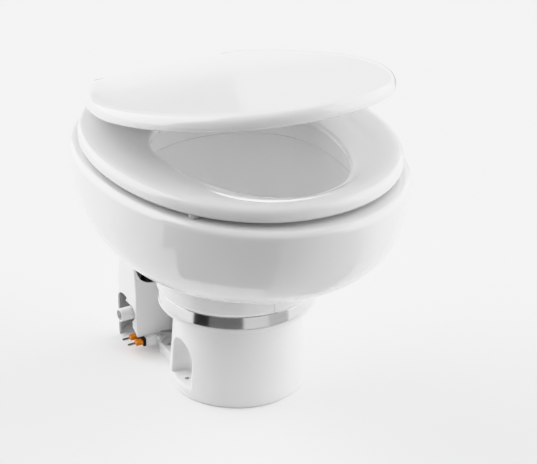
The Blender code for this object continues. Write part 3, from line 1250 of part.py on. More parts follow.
def make_rotor(axis):
    """What the motor turns: its shaft, the macerator blade and the impeller above the cutter plate."""
    shaft_foot = BLADE_HEIGHT - SHAFT_RADIUS
    shaft_top = MOTOR_BOTTOM + SHAFT_SOCKET_DEPTH - RUNNING_GAP
    shaft = rod("motor_shaft", SHAFT_RADIUS, (PUMP_X, PUMP_Y, shaft_foot), (PUMP_X, PUMP_Y, shaft_top),
                STAINLESS, SMALL_STEPS)
    bore = SHAFT_RADIUS + SEAT_GAP
    outline = []
    for arm in range(BLADE_ARMS):
        facing = math.tau * arm / BLADE_ARMS
        for out, across in (
            (BLADE_ROOT_WIDTH / 2, -BLADE_ROOT_WIDTH / 2), (BLADE_REACH, 0.0),
            (BLADE_REACH - BLADE_TIP_WIDTH / 2, BLADE_TIP_WIDTH),
        ):
            outline.append((
                PUMP_X + out * math.cos(facing) - across * math.sin(facing),
                PUMP_Y + out * math.sin(facing) + across * math.cos(facing),
            ))
    blade = prism("macerator_blade", outline, BLADE_HEIGHT, BLADE_HEIGHT + BLADE_THICKNESS, STAINLESS)
    cut(blade, rod("blade_bore", bore, (PUMP_X, PUMP_Y, BLADE_HEIGHT - OVERRUN),
                   (PUMP_X, PUMP_Y, BLADE_HEIGHT + BLADE_THICKNESS + OVERRUN), None, SMALL_STEPS))
    disc_top, top = IMPELLER_HEIGHT + IMPELLER_DISC, IMPELLER_TOP
    impeller = turned(
        "impeller",
        [(0.0, IMPELLER_HEIGHT), (IMPELLER_RADIUS, IMPELLER_HEIGHT), (IMPELLER_RADIUS, disc_top),
         (IMPELLER_HUB_RADIUS, disc_top), (IMPELLER_HUB_RADIUS, top), (0.0, top)],
        BLACK_PLASTIC, IMPELLER_STEPS, PUMP_X, PUMP_Y,
    )
    for number in range(IMPELLER_VANES):
        join(impeller, vane(number, disc_top - STEP_DEPTH, top))
    cut(impeller, rod("impeller_bore", bore, (PUMP_X, PUMP_Y, IMPELLER_HEIGHT - OVERRUN),
                      (PUMP_X, PUMP_Y, top + OVERRUN), None, SMALL_STEPS))
    carry(axis, shaft, blade, impeller)


def vane(number, bottom, top):
    """One backward-curved vane: an arc from the hub to the rim of the impeller's disc."""
    facing = math.tau * number / IMPELLER_VANES
    outer_side, inner_side = [], []
    for step in range(CORNER_STEPS + 1):
        share = step / CORNER_STEPS
        out = blend(IMPELLER_HUB_RADIUS - STEP_DEPTH, IMPELLER_RADIUS - STEP_DEPTH, share)
        angle = facing + VANE_SWEEP * share
        half = IMPELLER_VANE_THICKNESS / 2 / out
        outer_side.append((PUMP_X + out * math.cos(angle + half), PUMP_Y + out * math.sin(angle + half)))
        inner_side.append((PUMP_X + out * math.cos(angle - half), PUMP_Y + out * math.sin(angle - half)))
    return prism(f"vane_{number}", inner_side + outer_side[::-1], bottom, top, None)


def make_motor():
    """The motor above the pump: its can, open below for the shaft, and the vented end cap."""
    bottom, top = MOTOR_BOTTOM, MOTOR_TOP
    socket = bottom + SHAFT_SOCKET_DEPTH
    turned(
        "motor_body",
        [(SHAFT_RADIUS + RUNNING_GAP, bottom), (MOTOR_RADIUS, bottom), (MOTOR_RADIUS, top),
         (0.0, top), (0.0, socket), (SHAFT_RADIUS + RUNNING_GAP, socket)],
        BLACK_PLASTIC, PUMP_STEPS, PUMP_X, PUMP_Y,
    )
    cap_foot, cap_top = MOTOR_TOP + SEAT_GAP, MOTOR_CAP_TOP
    middle_cut = MOTOR_CAP_ROUND * (1 - math.cos(math.radians(45)))
    cap = turned(
        "motor_end_cap",
        [(0.0, cap_foot), (MOTOR_RADIUS, cap_foot), (MOTOR_RADIUS, cap_top - MOTOR_CAP_ROUND),
         (MOTOR_RADIUS - middle_cut, cap_top - middle_cut),
         (MOTOR_RADIUS - MOTOR_CAP_ROUND, cap_top), (0.0, cap_top)],
        BLACK_PLASTIC, PUMP_STEPS, PUMP_X, PUMP_Y,
    )
    for number in range(VENT_COUNT):
        angle = math.tau * number / VENT_COUNT
        middle = MOTOR_RADIUS - VENT_REACH
        place = Matrix.Translation((PUMP_X, PUMP_Y, cap_top)) @ Matrix.Rotation(angle, 4, "Z")
        slot = block(f"vent_{number}", (middle - VENT_REACH / 2, -VENT_WIDTH / 2, -VENT_DEPTH),
                     (middle + VENT_REACH / 2, VENT_WIDTH / 2, OVERRUN), None)
        slot.matrix_world = place
        cut(cap, slot)


def cover_shape(name, inset, bottom, top, finish):
    """The cover's outer form, or its hollow where an inset is given, drawn in towards the top."""
    rings = []
    for height_share, side_share, front_share, rear_share in COVER_DRAFT_SHARES:
        side = inset + side_share * COVER_DRAFT
        front = inset + front_share * COVER_DRAFT
        rear = inset + rear_share * COVER_DRAFT
        plan = rounded_plan(
            COVER_LEFT + side, COVER_RIGHT - side, COVER_FRONT + front, COVER_REAR - rear,
            COVER_FRONT_CORNER, COVER_REAR_CORNER - inset - side_share * COVER_DRAFT,
        )
        rings.append(at_height(plan, blend(bottom, top, height_share)))
    return skin(name, rings, finish)


def arch(name, along, low, high, top, near, far):
    """A cutter through one of the cover's walls, open below and round above, seen along X or along Y."""
    radius = (high - low) / 2
    outline = [(low, -OVERRUN), (high, -OVERRUN)]
    for step in range(ARCH_STEPS + 1):
        angle = math.pi * step / ARCH_STEPS
        across, up = low + radius + radius * math.cos(angle), top - radius + radius * math.sin(angle)
        outline.append((across, up))
    if along == "X":
        return skin(name, [[(depth, across, z) for across, z in outline] for depth in (near, far)], None)
    return skin(name, [[(across, depth, z) for across, z in outline] for depth in (near, far)], None)


def cover_screw(name, side, radius, start, finish):
    """A bar along one cover screw's axis, from a given depth inside the rear wall's face into the lug."""
    x = PUMP_X + side * COVER_SCREW_SPACING / 2
    inner = SHELF_REAR - LUG_THICKNESS + STEP_DEPTH
    return rod(name, radius, (x, COVER_REAR - start, COVER_SCREW_HEIGHT), (x, inner, COVER_SCREW_HEIGHT),
               finish, SMALL_STEPS)


def make_cover():
    """The cover over pump and motor, open for the motor's air, the spigot, the nipple and the terminals."""
    cover = cover_shape("pump_cover", 0.0, 0.0, COVER_TOP, WHITE_PLASTIC)
    outside, inside = COVER_LEFT - OVERRUN, COVER_LEFT + COVER_WALL + OVERRUN
    cut(
        cover,
        cover_shape("cover_hollow", COVER_WALL, -OVERRUN, COVER_TOP - COVER_WALL, None),
        block("front_lift", (COVER_LEFT - OVERRUN, COVER_FRONT - OVERRUN, -OVERRUN),
              (COVER_RIGHT + OVERRUN, COVER_FRONT + COVER_WALL + OVERRUN, COVER_FRONT_LIFT), None),
        rod("motor_notch", MOTOR_NOTCH_RADIUS, (MOTOR_NOTCH_X, COVER_FRONT - OVERRUN, MOTOR_NOTCH_HEIGHT),
            (MOTOR_NOTCH_X, COVER_FRONT + COVER_WALL + COVER_DRAFT / 2, MOTOR_NOTCH_HEIGHT), None),
        arch("pipe_notch", "Y", PIPE_X - PIPE_NOTCH_HALF_WIDTH, PIPE_X + PIPE_NOTCH_HALF_WIDTH,
             PIPE_NOTCH_TOP, COVER_FRONT - OVERRUN, COVER_FRONT + COVER_WALL + OVERRUN),
        arch("outlet_slot", "X", SLOT_FRONT, SLOT_REAR, SLOT_TOP, outside, COVER_LEFT + SLOT_DEPTH),
        rod("spigot_clearance", SPIGOT_RADIUS + SPIGOT_CLEARANCE, (outside, SPIGOT_Y, SPIGOT_HEIGHT),
            (inside, SPIGOT_Y, SPIGOT_HEIGHT), None),
        arch("terminal_arch", "X", COVER_FRONT - OVERRUN, COVER_FRONT + ARCH_WIDTH, ARCH_TOP,
             outside, inside),
    )
    for side, word in ((-1, "right"), (1, "left")):
        cut(cover, cover_screw(f"cover_hole_{word}", side, COVER_SCREW_RADIUS + SEAT_GAP, -OVERRUN, None))
        screw = cover_screw(f"cover_screw_{word}", side, COVER_SCREW_RADIUS,
                            -COVER_SCREW_HEAD / 2 - SEAT_GAP, STAINLESS)
        x = PUMP_X + side * COVER_SCREW_SPACING / 2
        head = COVER_REAR + SEAT_GAP
        join(screw, rod(f"cover_head_{word}", COVER_SCREW_HEAD_RADIUS, (x, head, COVER_SCREW_HEIGHT),
                        (x, head + COVER_SCREW_HEAD, COVER_SCREW_HEIGHT), None, SMALL_STEPS))


def make_valve():
    """The solenoid valve: body with two ports, coil yoke, two terminal blocks and their spades."""
    left = VALVE_RIGHT - VALVE_LENGTH
    rear = VALVE_FRONT + VALVE_DEPTH
    top = COVER_FRONT_LIFT - SEAT_GAP
    body = block("valve_body", (left, VALVE_FRONT, VALVE_FLOOR), (VALVE_RIGHT, rear, top), WHITE_PLASTIC)
    bevel(body, VALVE_EDGE)
    middle_z = (VALVE_FLOOR + top) / 2
    middle_x = (left + VALVE_RIGHT) / 2
    outlet_y = VALVE_FRONT + OUTLET_PORT_SETBACK
    ports = (
        ("inlet", (middle_x, rear, middle_z), Vector((0, 1, 0))),
        ("outlet", (VALVE_RIGHT, outlet_y, middle_z), Vector((1, 0, 0))),
    )
    for word, mouth, way in ports:
        start = Vector(mouth)
        join(body, rod(f"{word}_port", PORT_RADIUS, start - way * VALVE_EDGE * 2,
                       start + way * PORT_LENGTH, None, SMALL_STEPS, end_radius=PORT_RADIUS - STEP_DEPTH))
        cut(body, rod(f"{word}_bore", PORT_BORE_RADIUS, start - way * PORT_LENGTH / 2,
                      start + way * (PORT_LENGTH + OVERRUN), None, SMALL_STEPS))
    yoke_right = left - SEAT_GAP
    yoke_left = yoke_right - YOKE_LENGTH
    block("coil_yoke", (yoke_left, VALVE_FRONT + YOKE_INSET, VALVE_FLOOR + YOKE_INSET),
          (yoke_right, rear - YOKE_INSET, top - YOKE_INSET), BLACK_PLASTIC)
    for number in range(2):
        centre_y = VALVE_FRONT + TERMINAL_SETBACK + YOKE_INSET + number * TERMINAL_SPACING
        block_right = yoke_left - SEAT_GAP
        block_left = block_right - TERMINAL_LENGTH
        terminal = block(
            f"terminal_block_{number + 1}",
            (block_left, centre_y - TERMINAL_WIDTH / 2, middle_z - TERMINAL_HEIGHT / 2),
            (block_right, centre_y + TERMINAL_WIDTH / 2, middle_z + TERMINAL_HEIGHT / 2), ORANGE_PLASTIC,
        )
        bevel(terminal, YOKE_INSET)
        spade_left = block_left - SPADE_LENGTH
        slot_right = block_left + TERMINAL_LENGTH / 2
        low = (spade_left, centre_y - SPADE_WIDTH / 2, middle_z - SPADE_THICKNESS / 2)
        high = (slot_right, centre_y + SPADE_WIDTH / 2, middle_z + SPADE_THICKNESS / 2)
        block(f"spade_terminal_{number + 1}", low, high, STAINLESS)
        gap = Vector((SEAT_GAP, SEAT_GAP, SEAT_GAP))
        cut(terminal, block(f"spade_slot_{number + 1}", Vector(low) - gap, Vector(high) + gap, None))


def sharpen_cut_edges():
    """Splits the shading at the sharp edges that the cuts have made."""
    for item in bpy.data.objects:
        if item.type == "MESH" and item.modifiers and not item.hide_render:
            step = item.modifiers.new("sharp_edges", "EDGE_SPLIT")
            step.split_angle = SMOOTH_ANGLE


def make_toilet():
    clear_scene()
    make_pedestal()
    make_sump()
    make_gasket()
    make_band()
    make_bowl()
    make_spud()
    make_posts_and_pins()
    make_seat(axis_empty("seat_axis", (0.0, HINGE_Y, HINGE_Z)))
    make_lid(axis_empty("lid_axis", (0.0, HINGE_Y, HINGE_Z)))
    make_pump_housing()
    make_inlet_sleeve()
    make_seal_plate()
    make_cutter_plate()
    make_rotor(axis_empty("rotor_axis", (PUMP_X, PUMP_Y, 0.0)))
    make_motor()
    make_cover()
    make_valve()
    sharpen_cut_edges()


make_toilet()
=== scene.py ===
"""The looks of the electric marine toilet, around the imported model, in metres: +Z is up, -Y is the front."""

import json
from math import asin, copysign, cos, hypot, pi, radians, sin, tan, tau

import bmesh
import bpy
import numpy as np
from mathutils import Matrix, Vector


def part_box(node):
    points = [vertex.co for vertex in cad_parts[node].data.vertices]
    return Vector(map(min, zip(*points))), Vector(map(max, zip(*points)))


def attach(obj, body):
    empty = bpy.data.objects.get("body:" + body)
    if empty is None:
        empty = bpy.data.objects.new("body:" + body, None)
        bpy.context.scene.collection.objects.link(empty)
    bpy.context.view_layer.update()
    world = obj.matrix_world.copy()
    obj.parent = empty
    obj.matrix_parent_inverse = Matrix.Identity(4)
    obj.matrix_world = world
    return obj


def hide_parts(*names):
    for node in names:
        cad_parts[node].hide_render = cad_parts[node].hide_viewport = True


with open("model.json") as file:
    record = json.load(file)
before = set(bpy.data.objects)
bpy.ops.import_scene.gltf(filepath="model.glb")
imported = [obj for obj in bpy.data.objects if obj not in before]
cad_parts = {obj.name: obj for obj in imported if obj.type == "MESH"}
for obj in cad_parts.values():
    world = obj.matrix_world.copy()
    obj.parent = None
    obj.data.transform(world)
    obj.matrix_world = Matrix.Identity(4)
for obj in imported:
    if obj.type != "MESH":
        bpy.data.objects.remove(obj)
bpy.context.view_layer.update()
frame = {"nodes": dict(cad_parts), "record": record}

# Sizes repeated from the part's source
GAP = 0.0003
RUNNING_GAP = 0.0006
OVERRUN = 0.002
WELD = 0.000001

FOOT_RADIUS = 0.0895
FOOT_ROUND = 0.0025
WALL_TOP_RADIUS = 0.0815
FLANGE_RADIUS = 0.1016
BAND_BOTTOM = 0.1211
BAND_TOP = 0.1377
BAND_THICKNESS = 0.0012
GRIP_RADIUS = FLANGE_RADIUS - BAND_THICKNESS - 0.0007
PEDESTAL_TOP = BAND_BOTTOM + 0.0054
PEDESTAL_WALL = 0.0040
STEP_HEIGHT = BAND_BOTTOM - 0.0331
STEP_DEPTH = 0.0008
FLANGE_FOOT = BAND_BOTTOM - GAP - 0.0055
CONE_FOOT = FLANGE_FOOT - 0.0090
DECK = PEDESTAL_TOP - 0.0110
DECK_BORE_RADIUS = 0.0680
SUMP_SEAT_RADIUS = 0.0783
SUMP_SEAT = PEDESTAL_TOP - 0.0027 - GAP
POCKET_RADIUS = 0.0245
POCKET_TOP = 0.0725
POCKET_FLOOR = 0.0145
POCKET_X = FOOT_RADIUS - 0.0055
HOLE_RADIUS = 0.0033
SIDE_HOLE_X = FOOT_RADIUS - 0.0140

BAND_EAR_ANGLE = radians(25)
BAND_EAR_REACH = 0.0140
BAND_EAR_GAP = 0.0090
BAND_EAR_THICKNESS = 0.0016
CLAMP_BOLT_RADIUS = 0.0025
CLAMP_BOLT_SPARE = 0.0060
CLAMP_HEAD_RADIUS = 0.0044
CLAMP_HEAD_LENGTH = 0.0030

BOWL_WIDTH, BOWL_CENTRE_Y, BOWL_REAR, BOWL_REAR_POWER = 0.3820, 0.0050, 0.2480, 2.02
BOWL_BOTTOM = PEDESTAL_TOP + 0.0046
BOWL_BACK = BOWL_CENTRE_Y + BOWL_REAR
COLLAR_RADIUS = FLANGE_RADIUS + 0.0029
COLLAR_WALL = 0.0130
COLLAR_TOP_SHARE = 0.75
BELLY_BOTTOM = BAND_TOP + 0.0438
RIM_TOP = 0.3205
RIM_ROUND = 0.0095
RIM_UNDERCUT = 0.0050
BELLY_RISE = RIM_TOP - 0.0020 - BELLY_BOTTOM
BELLY_RISE_POWER = 2.35
BELLY_SPREAD_POWER = 2.19
CERAMIC_WALL = 0.0085
BASIN_TOP = RIM_TOP - 0.0300
BASIN_FOOT = BOWL_BOTTOM + 0.0304
BASIN_DEPTH = BASIN_TOP - BASIN_FOOT
BASIN_POWER = 2.1
BASIN_SPREAD_POWER = 2.3
DRAIN_RADIUS = 0.0230
DRAIN_DROP = 0.0300
RIM_HOLE_RADIUS = 0.0060
RIM_HOLE_DEPTH = 0.0120

SPUD_HEIGHT = RIM_TOP - 0.0355
SPUD_BOSS = 0.0012
SPUD_BOSS_RADIUS = 0.0185
SPUD_RADIUS = 0.0105
SPUD_FLANGE = 0.0030
SPUD_FLANGE_RADIUS = 0.0150
SPUD_REACH = 0.0180
SPUD_DROP = 0.0300
BARB_RADIUS = 0.0068
BARB_BORE_RADIUS = 0.0042
BARB_STEP = 0.0010
BARB_PITCH = 0.0070

SEAT_BOTTOM = RIM_TOP + 0.0062
SEAT_THICKNESS = 0.0180
SEAT_TOP = SEAT_BOTTOM + SEAT_THICKNESS
SEAT_DISH = 0.0085
SEAT_BACK = BOWL_BACK - 0.0650
SEAT_CORNER = 0.0130
LID_BOTTOM = SEAT_TOP + 0.0025
LID_THICKNESS = 0.0185
LID_EDGE = 0.0102
LID_BACK = SEAT_BACK - 0.0032
LID_CORNER = 0.0157
LID_AJAR = radians(12.6)
LID_BUMPER_ANGLE = radians(45)
LID_BUMPER_INSET = 0.0360

TONGUE_START = 0.0300
TONGUE_HALF_WIDTH = 0.0645
TONGUE_HEIGHT = 0.0155
TONGUE_CORNER = 0.0240
TONGUE_TURN = radians(17)
COVER_FRONT = FLANGE_RADIUS + 0.0094
TONGUE_REAR = COVER_FRONT + 0.0020
EAR_RIM = 0.0034
EAR_FLOOR = 0.0090
EAR_POCKET_WIDTH = 0.0240
EAR_POCKET_LENGTH = 0.0260
EAR_HOLE = (TONGUE_HALF_WIDTH - 0.0155, TONGUE_REAR - 0.0155)
LUG_HALF_WIDTH = 0.0210
LUG_THICKNESS = 0.0070
LUG_TOP = TONGUE_HEIGHT + 0.0230

PUMP_RADIUS = 0.0340
COVER_LEFT = -0.0900
COVER_RIGHT = 0.0340
COVER_WALL = 0.0025
COVER_DRAFT = 0.0180
COVER_DRAFT_SHARES = (  # of the height, then of the draft at the sides, the front and the rear
    (0.00, 0.00, 0.00, 0.00), (0.45, 0.00, 0.00, 0.00), (0.66, 0.00, 0.05, 0.14),
    (0.83, 0.00, 0.17, 0.36), (0.945, 0.11, 0.28, 0.56), (1.00, 0.44, 0.61, 1.00),
)
PUMP_X = (COVER_LEFT + COVER_RIGHT) / 2
PUMP_Y = COVER_FRONT + COVER_WALL + 0.0025 + PUMP_RADIUS
SHELF_HALF_WIDTH = PUMP_X - (COVER_LEFT + 0.0260) - 0.0110 - 0.0015
SHELF_REAR = PUMP_Y + PUMP_RADIUS + 0.0012 + LUG_THICKNESS
COVER_REAR = SHELF_REAR + GAP + COVER_WALL
PIPE_X = PUMP_X + 0.0115
PIPE_HEIGHT = 0.0348
PIPE_RADIUS = 0.0165
PIPE_WALL = 0.0030
PIPE_END = COVER_FRONT - 0.0015
PIPE_JOINT_GAP = 0.0030
CHAMBER_FLOOR = 0.0032
CHAMBER_RADIUS = PUMP_RADIUS - 0.0040
PUMP_BOTTOM = TONGUE_HEIGHT + GAP
IMPELLER_FOOT = PUMP_BOTTOM + CHAMBER_FLOOR + 0.0130 + 0.0030 + 0.0080 + 0.0025 + 0.0030
PUMP_TOP = IMPELLER_FOOT + 0.0120 + 0.0035 + 0.0050
PUMP_EAR_CIRCLE = PUMP_RADIUS + 0.0035
PUMP_EAR_ANGLE = radians(67)
PUMP_EAR_RADIUS = 0.0052
PUMP_EAR_HEIGHT = 0.0120
SCREW_RADIUS = 0.0018
SCREW_DEPTH = 0.0100
SCREW_HEAD = 0.0026
SCREW_HEAD_RADIUS = 0.0034
SPIGOT_Y = PUMP_Y - 0.0220
SPIGOT_HEIGHT = IMPELLER_FOOT + 0.0060
SPIGOT_RADIUS = 0.0095
SPIGOT_WALL = 0.0024
SPIGOT_TAPER = 0.0008
SPIGOT_CLEARANCE = 0.0020
SPIGOT_END = COVER_LEFT - 0.0170
NIPPLE_X = COVER_LEFT + 0.0120
NIPPLE_HEIGHT = SPIGOT_HEIGHT + 0.0015
NIPPLE_END = SPIGOT_Y + 0.0320
NIPPLE_RADIUS = 0.0036
NIPPLE_BORE_RADIUS = 0.0018
SEAL_PLATE_THICKNESS = 0.0040
SHAFT_HOLE = 0.0046
MOTOR_RADIUS = PUMP_RADIUS - 0.0030
MOTOR_LENGTH = 0.0520
MOTOR_BOTTOM = PUMP_TOP + SEAL_PLATE_THICKNESS + 2 * GAP
MOTOR_TOP = MOTOR_BOTTOM + MOTOR_LENGTH
MOTOR_CAP_TOP = MOTOR_TOP + GAP + 0.0090
SHAFT_SOCKET_DEPTH = 0.0140
VENT_COUNT, VENT_WIDTH, VENT_DEPTH = 6, 0.0030, 0.0040
VENT_START, VENT_END = MOTOR_RADIUS - 0.0150, MOTOR_RADIUS - 0.0050

COVER_TOP = MOTOR_CAP_TOP + 0.0066 + COVER_WALL
COVER_FRONT_LIFT = 0.0240
COVER_FRONT_CORNER = 0.0025
COVER_REAR_CORNER = 0.0380
COVER_SCREW_SPACING = 0.0240
COVER_SCREW_HEIGHT = 0.0300
COVER_SCREW_HEAD = 0.0020
COVER_SCREW_HEAD_RADIUS = 0.0038
NOTCH_X = COVER_LEFT + 0.0280
NOTCH_HEIGHT = 0.1240
NOTCH_RADIUS = 0.0250
PIPE_ARCH = (PIPE_X - 0.0212, PIPE_X + 0.0212, 0.0800)  # an arch: where it starts and ends, and its top
OUTLET_ARCH = (SPIGOT_Y - 0.0045, SPIGOT_Y - 0.0045 + 0.0485, 0.0730)
OUTLET_ARCH_DEPTH = 0.0065
VALVE_ARCH = (COVER_FRONT - OVERRUN, COVER_FRONT + 0.0460, 0.0360)

BARREL_RADIUS = 0.0078
BARREL_WIDTH = 0.0090
PIN_RADIUS = 0.0030
PIN_HEAD = 0.0012
PIN_HEAD_RADIUS = 0.0045
POST_DEPTH = 0.0110
POST_FOOT_RADIUS = 0.0115
POST_FOOT_THICKNESS = 0.0030
STUD_RADIUS = 0.0030
STUD_DEPTH = 0.0090
LEAF_THICKNESS = 0.0028
LEAF_LENGTH = 0.0300
LEAF_WIDTH = 0.0140
LEAF_NARROWING = 0.0022
LEAF_EDGE_STEP = 0.0025
LID_ARM_SHARE = 0.80
HINGE_Y = LID_BACK + 0.0152
HINGE_Z = SEAT_TOP + 0.0038
RIM_SHARE = (1 - ((HINGE_Y - BOWL_CENTRE_Y) / BOWL_REAR) ** BOWL_REAR_POWER) ** (1 / BOWL_REAR_POWER)
HINGE_X = (BOWL_WIDTH * RIM_SHARE - 0.0830) / 2
# Where the hinge parts begin and end along the pin, outwards from the middle
POST_SPAN = (HINGE_X - 0.0105, HINGE_X + 0.0105)
SEAT_BARREL = (POST_SPAN[0] - RUNNING_GAP - BARREL_WIDTH, POST_SPAN[0] - RUNNING_GAP)
LID_BARREL = (POST_SPAN[1] + RUNNING_GAP, POST_SPAN[1] + RUNNING_GAP + BARREL_WIDTH)

# Each egg: width, centre, front and rear length, front and rear power
BOWL_EGG = (BOWL_WIDTH, BOWL_CENTRE_Y, 0.2585, BOWL_REAR, 2.08, BOWL_REAR_POWER)
MOUTH_EGG = (0.2440, -0.0050, 0.1970, 0.1150, 2.10, 2.10)
SEAT_EGG = (0.3680, -0.0050, 0.2304, 0.2360, 2.08, 2.05)
OPENING_EGG = (0.2157, -0.0050, 0.1827, 0.1032, 2.14, 2.02)
LID_EGG = (0.3494, -0.0084, 0.2268, 0.2843, 2.04, 1.66)

# Sizes of the scene's own finer forms
EGG_POINTS = 200
COLLAR_EDGE = 0.0008
COLLAR_ROUND = 0.0057
MOUTH_ROUND = 0.0040
SEAM_X, SEAM_Y, SEAM_RADIUS = -0.0069, -0.1043, 0.0009
SEAM_TOP = BELLY_BOTTOM - 0.0290
CONE_POWER = 1.7
FLANGE_EDGE = 0.0011
POCKET_EDGE = 0.0042
POCKET_CORNER = 0.0025
POCKET_COSINE = 0.92
SHELF_EDGE = 0.0012
BAND_BEND = 0.0022
SOFT_EDGE = 0.0009
CLAMP_SOCKET_RADIUS, CLAMP_SOCKET_DEPTH = 0.0022, 0.0016
SCREW_SOCKET_RADIUS, SCREW_SOCKET_LOW, SCREW_SOCKET_HIGH = 0.0015, 0.0012, 0.0050
COVER_SLOT_REACH, COVER_SLOT_HALF, COVER_SLOT_FLOOR = 0.0026, 0.0005, 0.0011
MOTOR_FOOT_STEP, MOTOR_FOOT_LOW, MOTOR_FOOT_HIGH = 0.0022, 0.0030, 0.0040
CAP_RIM, CAP_DISH_START, CAP_DISH = 0.0075, 0.0085, 0.0012
GROOVE = 0.0008
COVER_EDGE = 0.0005
LEAF_EDGE = 0.0007


# Procedural materials

def fill(node, values):
    for name, value in values.items():
        node.inputs[name.replace("_", " ")].default_value = value


class Paint:
    """A node material that is built up in a few calls."""

    def __init__(self, name):
        self.made = bpy.data.materials.new(name)
        self.made.use_nodes = True
        self.tree = self.made.node_tree
        self.shader = self.tree.nodes["Principled BSDF"]
        self.place = self.tree.nodes.new("ShaderNodeTexCoord").outputs["Object"]

    def node(self, kind, source, socket, **values):
        """A new node with its values set, fed from a source."""
        made = self.tree.nodes.new(kind)
        fill(made, values)
        self.tree.links.new(source, made.inputs[socket])
        return made

    def noise(self, scale, detail, stretch=(1.0, 1.0, 1.0), roughness=0.55):
        mapping = self.node("ShaderNodeMapping", self.place, "Vector", Scale=stretch)
        return self.node(
            "ShaderNodeTexNoise", mapping.outputs["Vector"], "Vector",
            Scale=scale, Detail=detail, Roughness=roughness).outputs["Fac"]

    def colour(self, factor, dark, light, low=0.3, high=0.7):
        ramp = self.node("ShaderNodeValToRGB", factor, "Fac")
        for element, position, colour in zip(ramp.color_ramp.elements, (low, high), (dark, light)):
            element.position = position
            element.color = (*colour, 1.0)
        self.tree.links.new(ramp.outputs["Color"], self.shader.inputs["Base Color"])

    def rough(self, factor, low, high):
        spread = self.node(
            "ShaderNodeMapRange", factor, "Value", From_Min=0.25, From_Max=0.75, To_Min=low, To_Max=high)
        self.tree.links.new(spread.outputs["Result"], self.shader.inputs["Roughness"])

    def bump(self, *layers):
        """Each layer: a height factor, its strength and its distance in metres."""
        normal = None
        for factor, strength, distance in layers:
            step = self.node("ShaderNodeBump", factor, "Height", Strength=strength, Distance=distance)
            if normal:
                self.tree.links.new(normal, step.inputs["Normal"])
            normal = step.outputs["Normal"]
        self.tree.links.new(normal, self.shader.inputs["Normal"])


FINISHES = {}
SLOTS = {entry["node"]: entry["material_slot"] for entry in frame["record"]["subparts"]}


def grey(shade):
    return shade, shade, shade


def finish(name, colour, gloss, *bumps, **values):
    """Files a finish from noise. Each entry starts with the noise's scale and detail: colours, roughness, bumps."""
    paint = Paint(name)
    scale, detail, *colours = colour
    paint.colour(paint.noise(scale, detail), *colours)
    scale, detail, low, high = gloss
    paint.rough(paint.noise(scale, detail), low, high)
    paint.bump(*((paint.noise(*texture), strength, distance) for *texture, strength, distance in bumps))
    fill(paint.shader, values)
    FINISHES[name] = paint.made


def steel(name, shade, gloss, scale, stretch):
    """Files a brushed steel, its grain drawn along the directions with a small stretch."""
    paint = Paint(name)
    grain = paint.noise(scale, 5.0, stretch, 0.65)
    paint.colour(grain, grey(0.93 * shade), grey(shade))
    paint.rough(grain, *gloss)
    paint.bump((grain, 0.12, 0.0001))
    fill(paint.shader, {"Metallic": 1.0})
    FINISHES[name] = paint.made


finish(
    "glazed_ceramic", (5.0, 3.0, grey(0.862), (0.876, 0.876, 0.875), 0.1, 0.9), (14.0, 4.0, 0.035, 0.075),
    (16.0, 2.0, 0.035, 0.002), (420.0, 2.0, 0.012, 0.0004), IOR=1.52, Coat_Weight=0.35, Coat_Roughness=0.02)
finish(
    "seat_white", (4.0, 3.0, grey(0.862), grey(0.876), 0.1, 0.9), (11.0, 4.0, 0.055, 0.115),
    (9.0, 2.0, 0.03, 0.002), (600.0, 2.0, 0.02, 0.0003), IOR=1.49, Coat_Weight=0.15, Coat_Roughness=0.04)
finish(
    "white_plastic", (5.0, 2.0, grey(0.826), (0.840, 0.840, 0.839), 0.1, 0.9), (24.0, 3.0, 0.30, 0.36),
    (1500.0, 3.0, 0.06, 0.0001), IOR=1.49)
finish(
    "grey_plastic", (10.0, 4.0, (0.47, 0.47, 0.48), (0.55, 0.55, 0.56)), (40.0, 4.0, 0.34, 0.50),
    (1200.0, 3.0, 0.14, 0.0002), IOR=1.49)
finish(
    "black_plastic", (60.0, 5.0, (0.012, 0.012, 0.013), (0.028, 0.028, 0.030)), (45.0, 5.0, 0.22, 0.42),
    (1600.0, 3.0, 0.22, 0.0003), IOR=1.5)
finish(
    "orange_plastic", (160.0, 4.0, (0.66, 0.20, 0.018), (0.80, 0.28, 0.035)), (300.0, 4.0, 0.28, 0.44),
    (2200.0, 3.0, 0.15, 0.0002), IOR=1.5, Subsurface_Weight=0.12, Subsurface_Scale=0.002)
for label, darkest, lightest in (("rubber", 0.035, 0.065), ("rubber_pale", 0.52, 0.60)):
    finish(
        label, (90.0, 5.0, grey(darkest), grey(lightest)), (120.0, 5.0, 0.55, 0.75),
        (900.0, 4.0, 0.25, 0.0004), IOR=1.45)
steel("stainless_band", 0.86, (0.09, 0.20), 14.0, (1.0, 1.0, 90.0))
steel("stainless", 0.68, (0.12, 0.24), 20.0, (1.0, 30.0, 30.0))


# Meshes

def mesh_of(shape):
    mesh = bpy.data.meshes.new("form")
    shape.to_mesh(mesh)
    shape.free()
    return mesh


def mesh_from(points, faces, lathe=False):
    rough = bpy.data.meshes.new("form")
    rough.from_pydata(points, [], faces)
    shape = bmesh.new()
    shape.from_mesh(rough)
    bmesh.ops.remove_doubles(shape, verts=shape.verts, dist=WELD)
    if lathe:
        bmesh.ops.dissolve_degenerate(shape, edges=shape.edges, dist=WELD)
    bmesh.ops.recalc_face_normals(shape, faces=shape.faces)
    return mesh_of(shape)


def skin(rings, closed=False):
    """A mesh through rings of equal count: closed joins the last to the first, else both are capped."""
    rings = np.asarray(rings, float)
    total, count = rings.shape[:2]
    faces = []
    for span in range(total if closed else total - 1):
        here, there = span * count, (span + 1) % total * count
        faces += [(here + i, here + (i + 1) % count, there + (i + 1) % count, there + i) for i in range(count)]
    if not closed:
        faces.append(tuple(reversed(range(count))))
        faces.append(tuple(range((total - 1) * count, total * count)))
    return mesh_from(rings.reshape(-1, 3).tolist(), faces)


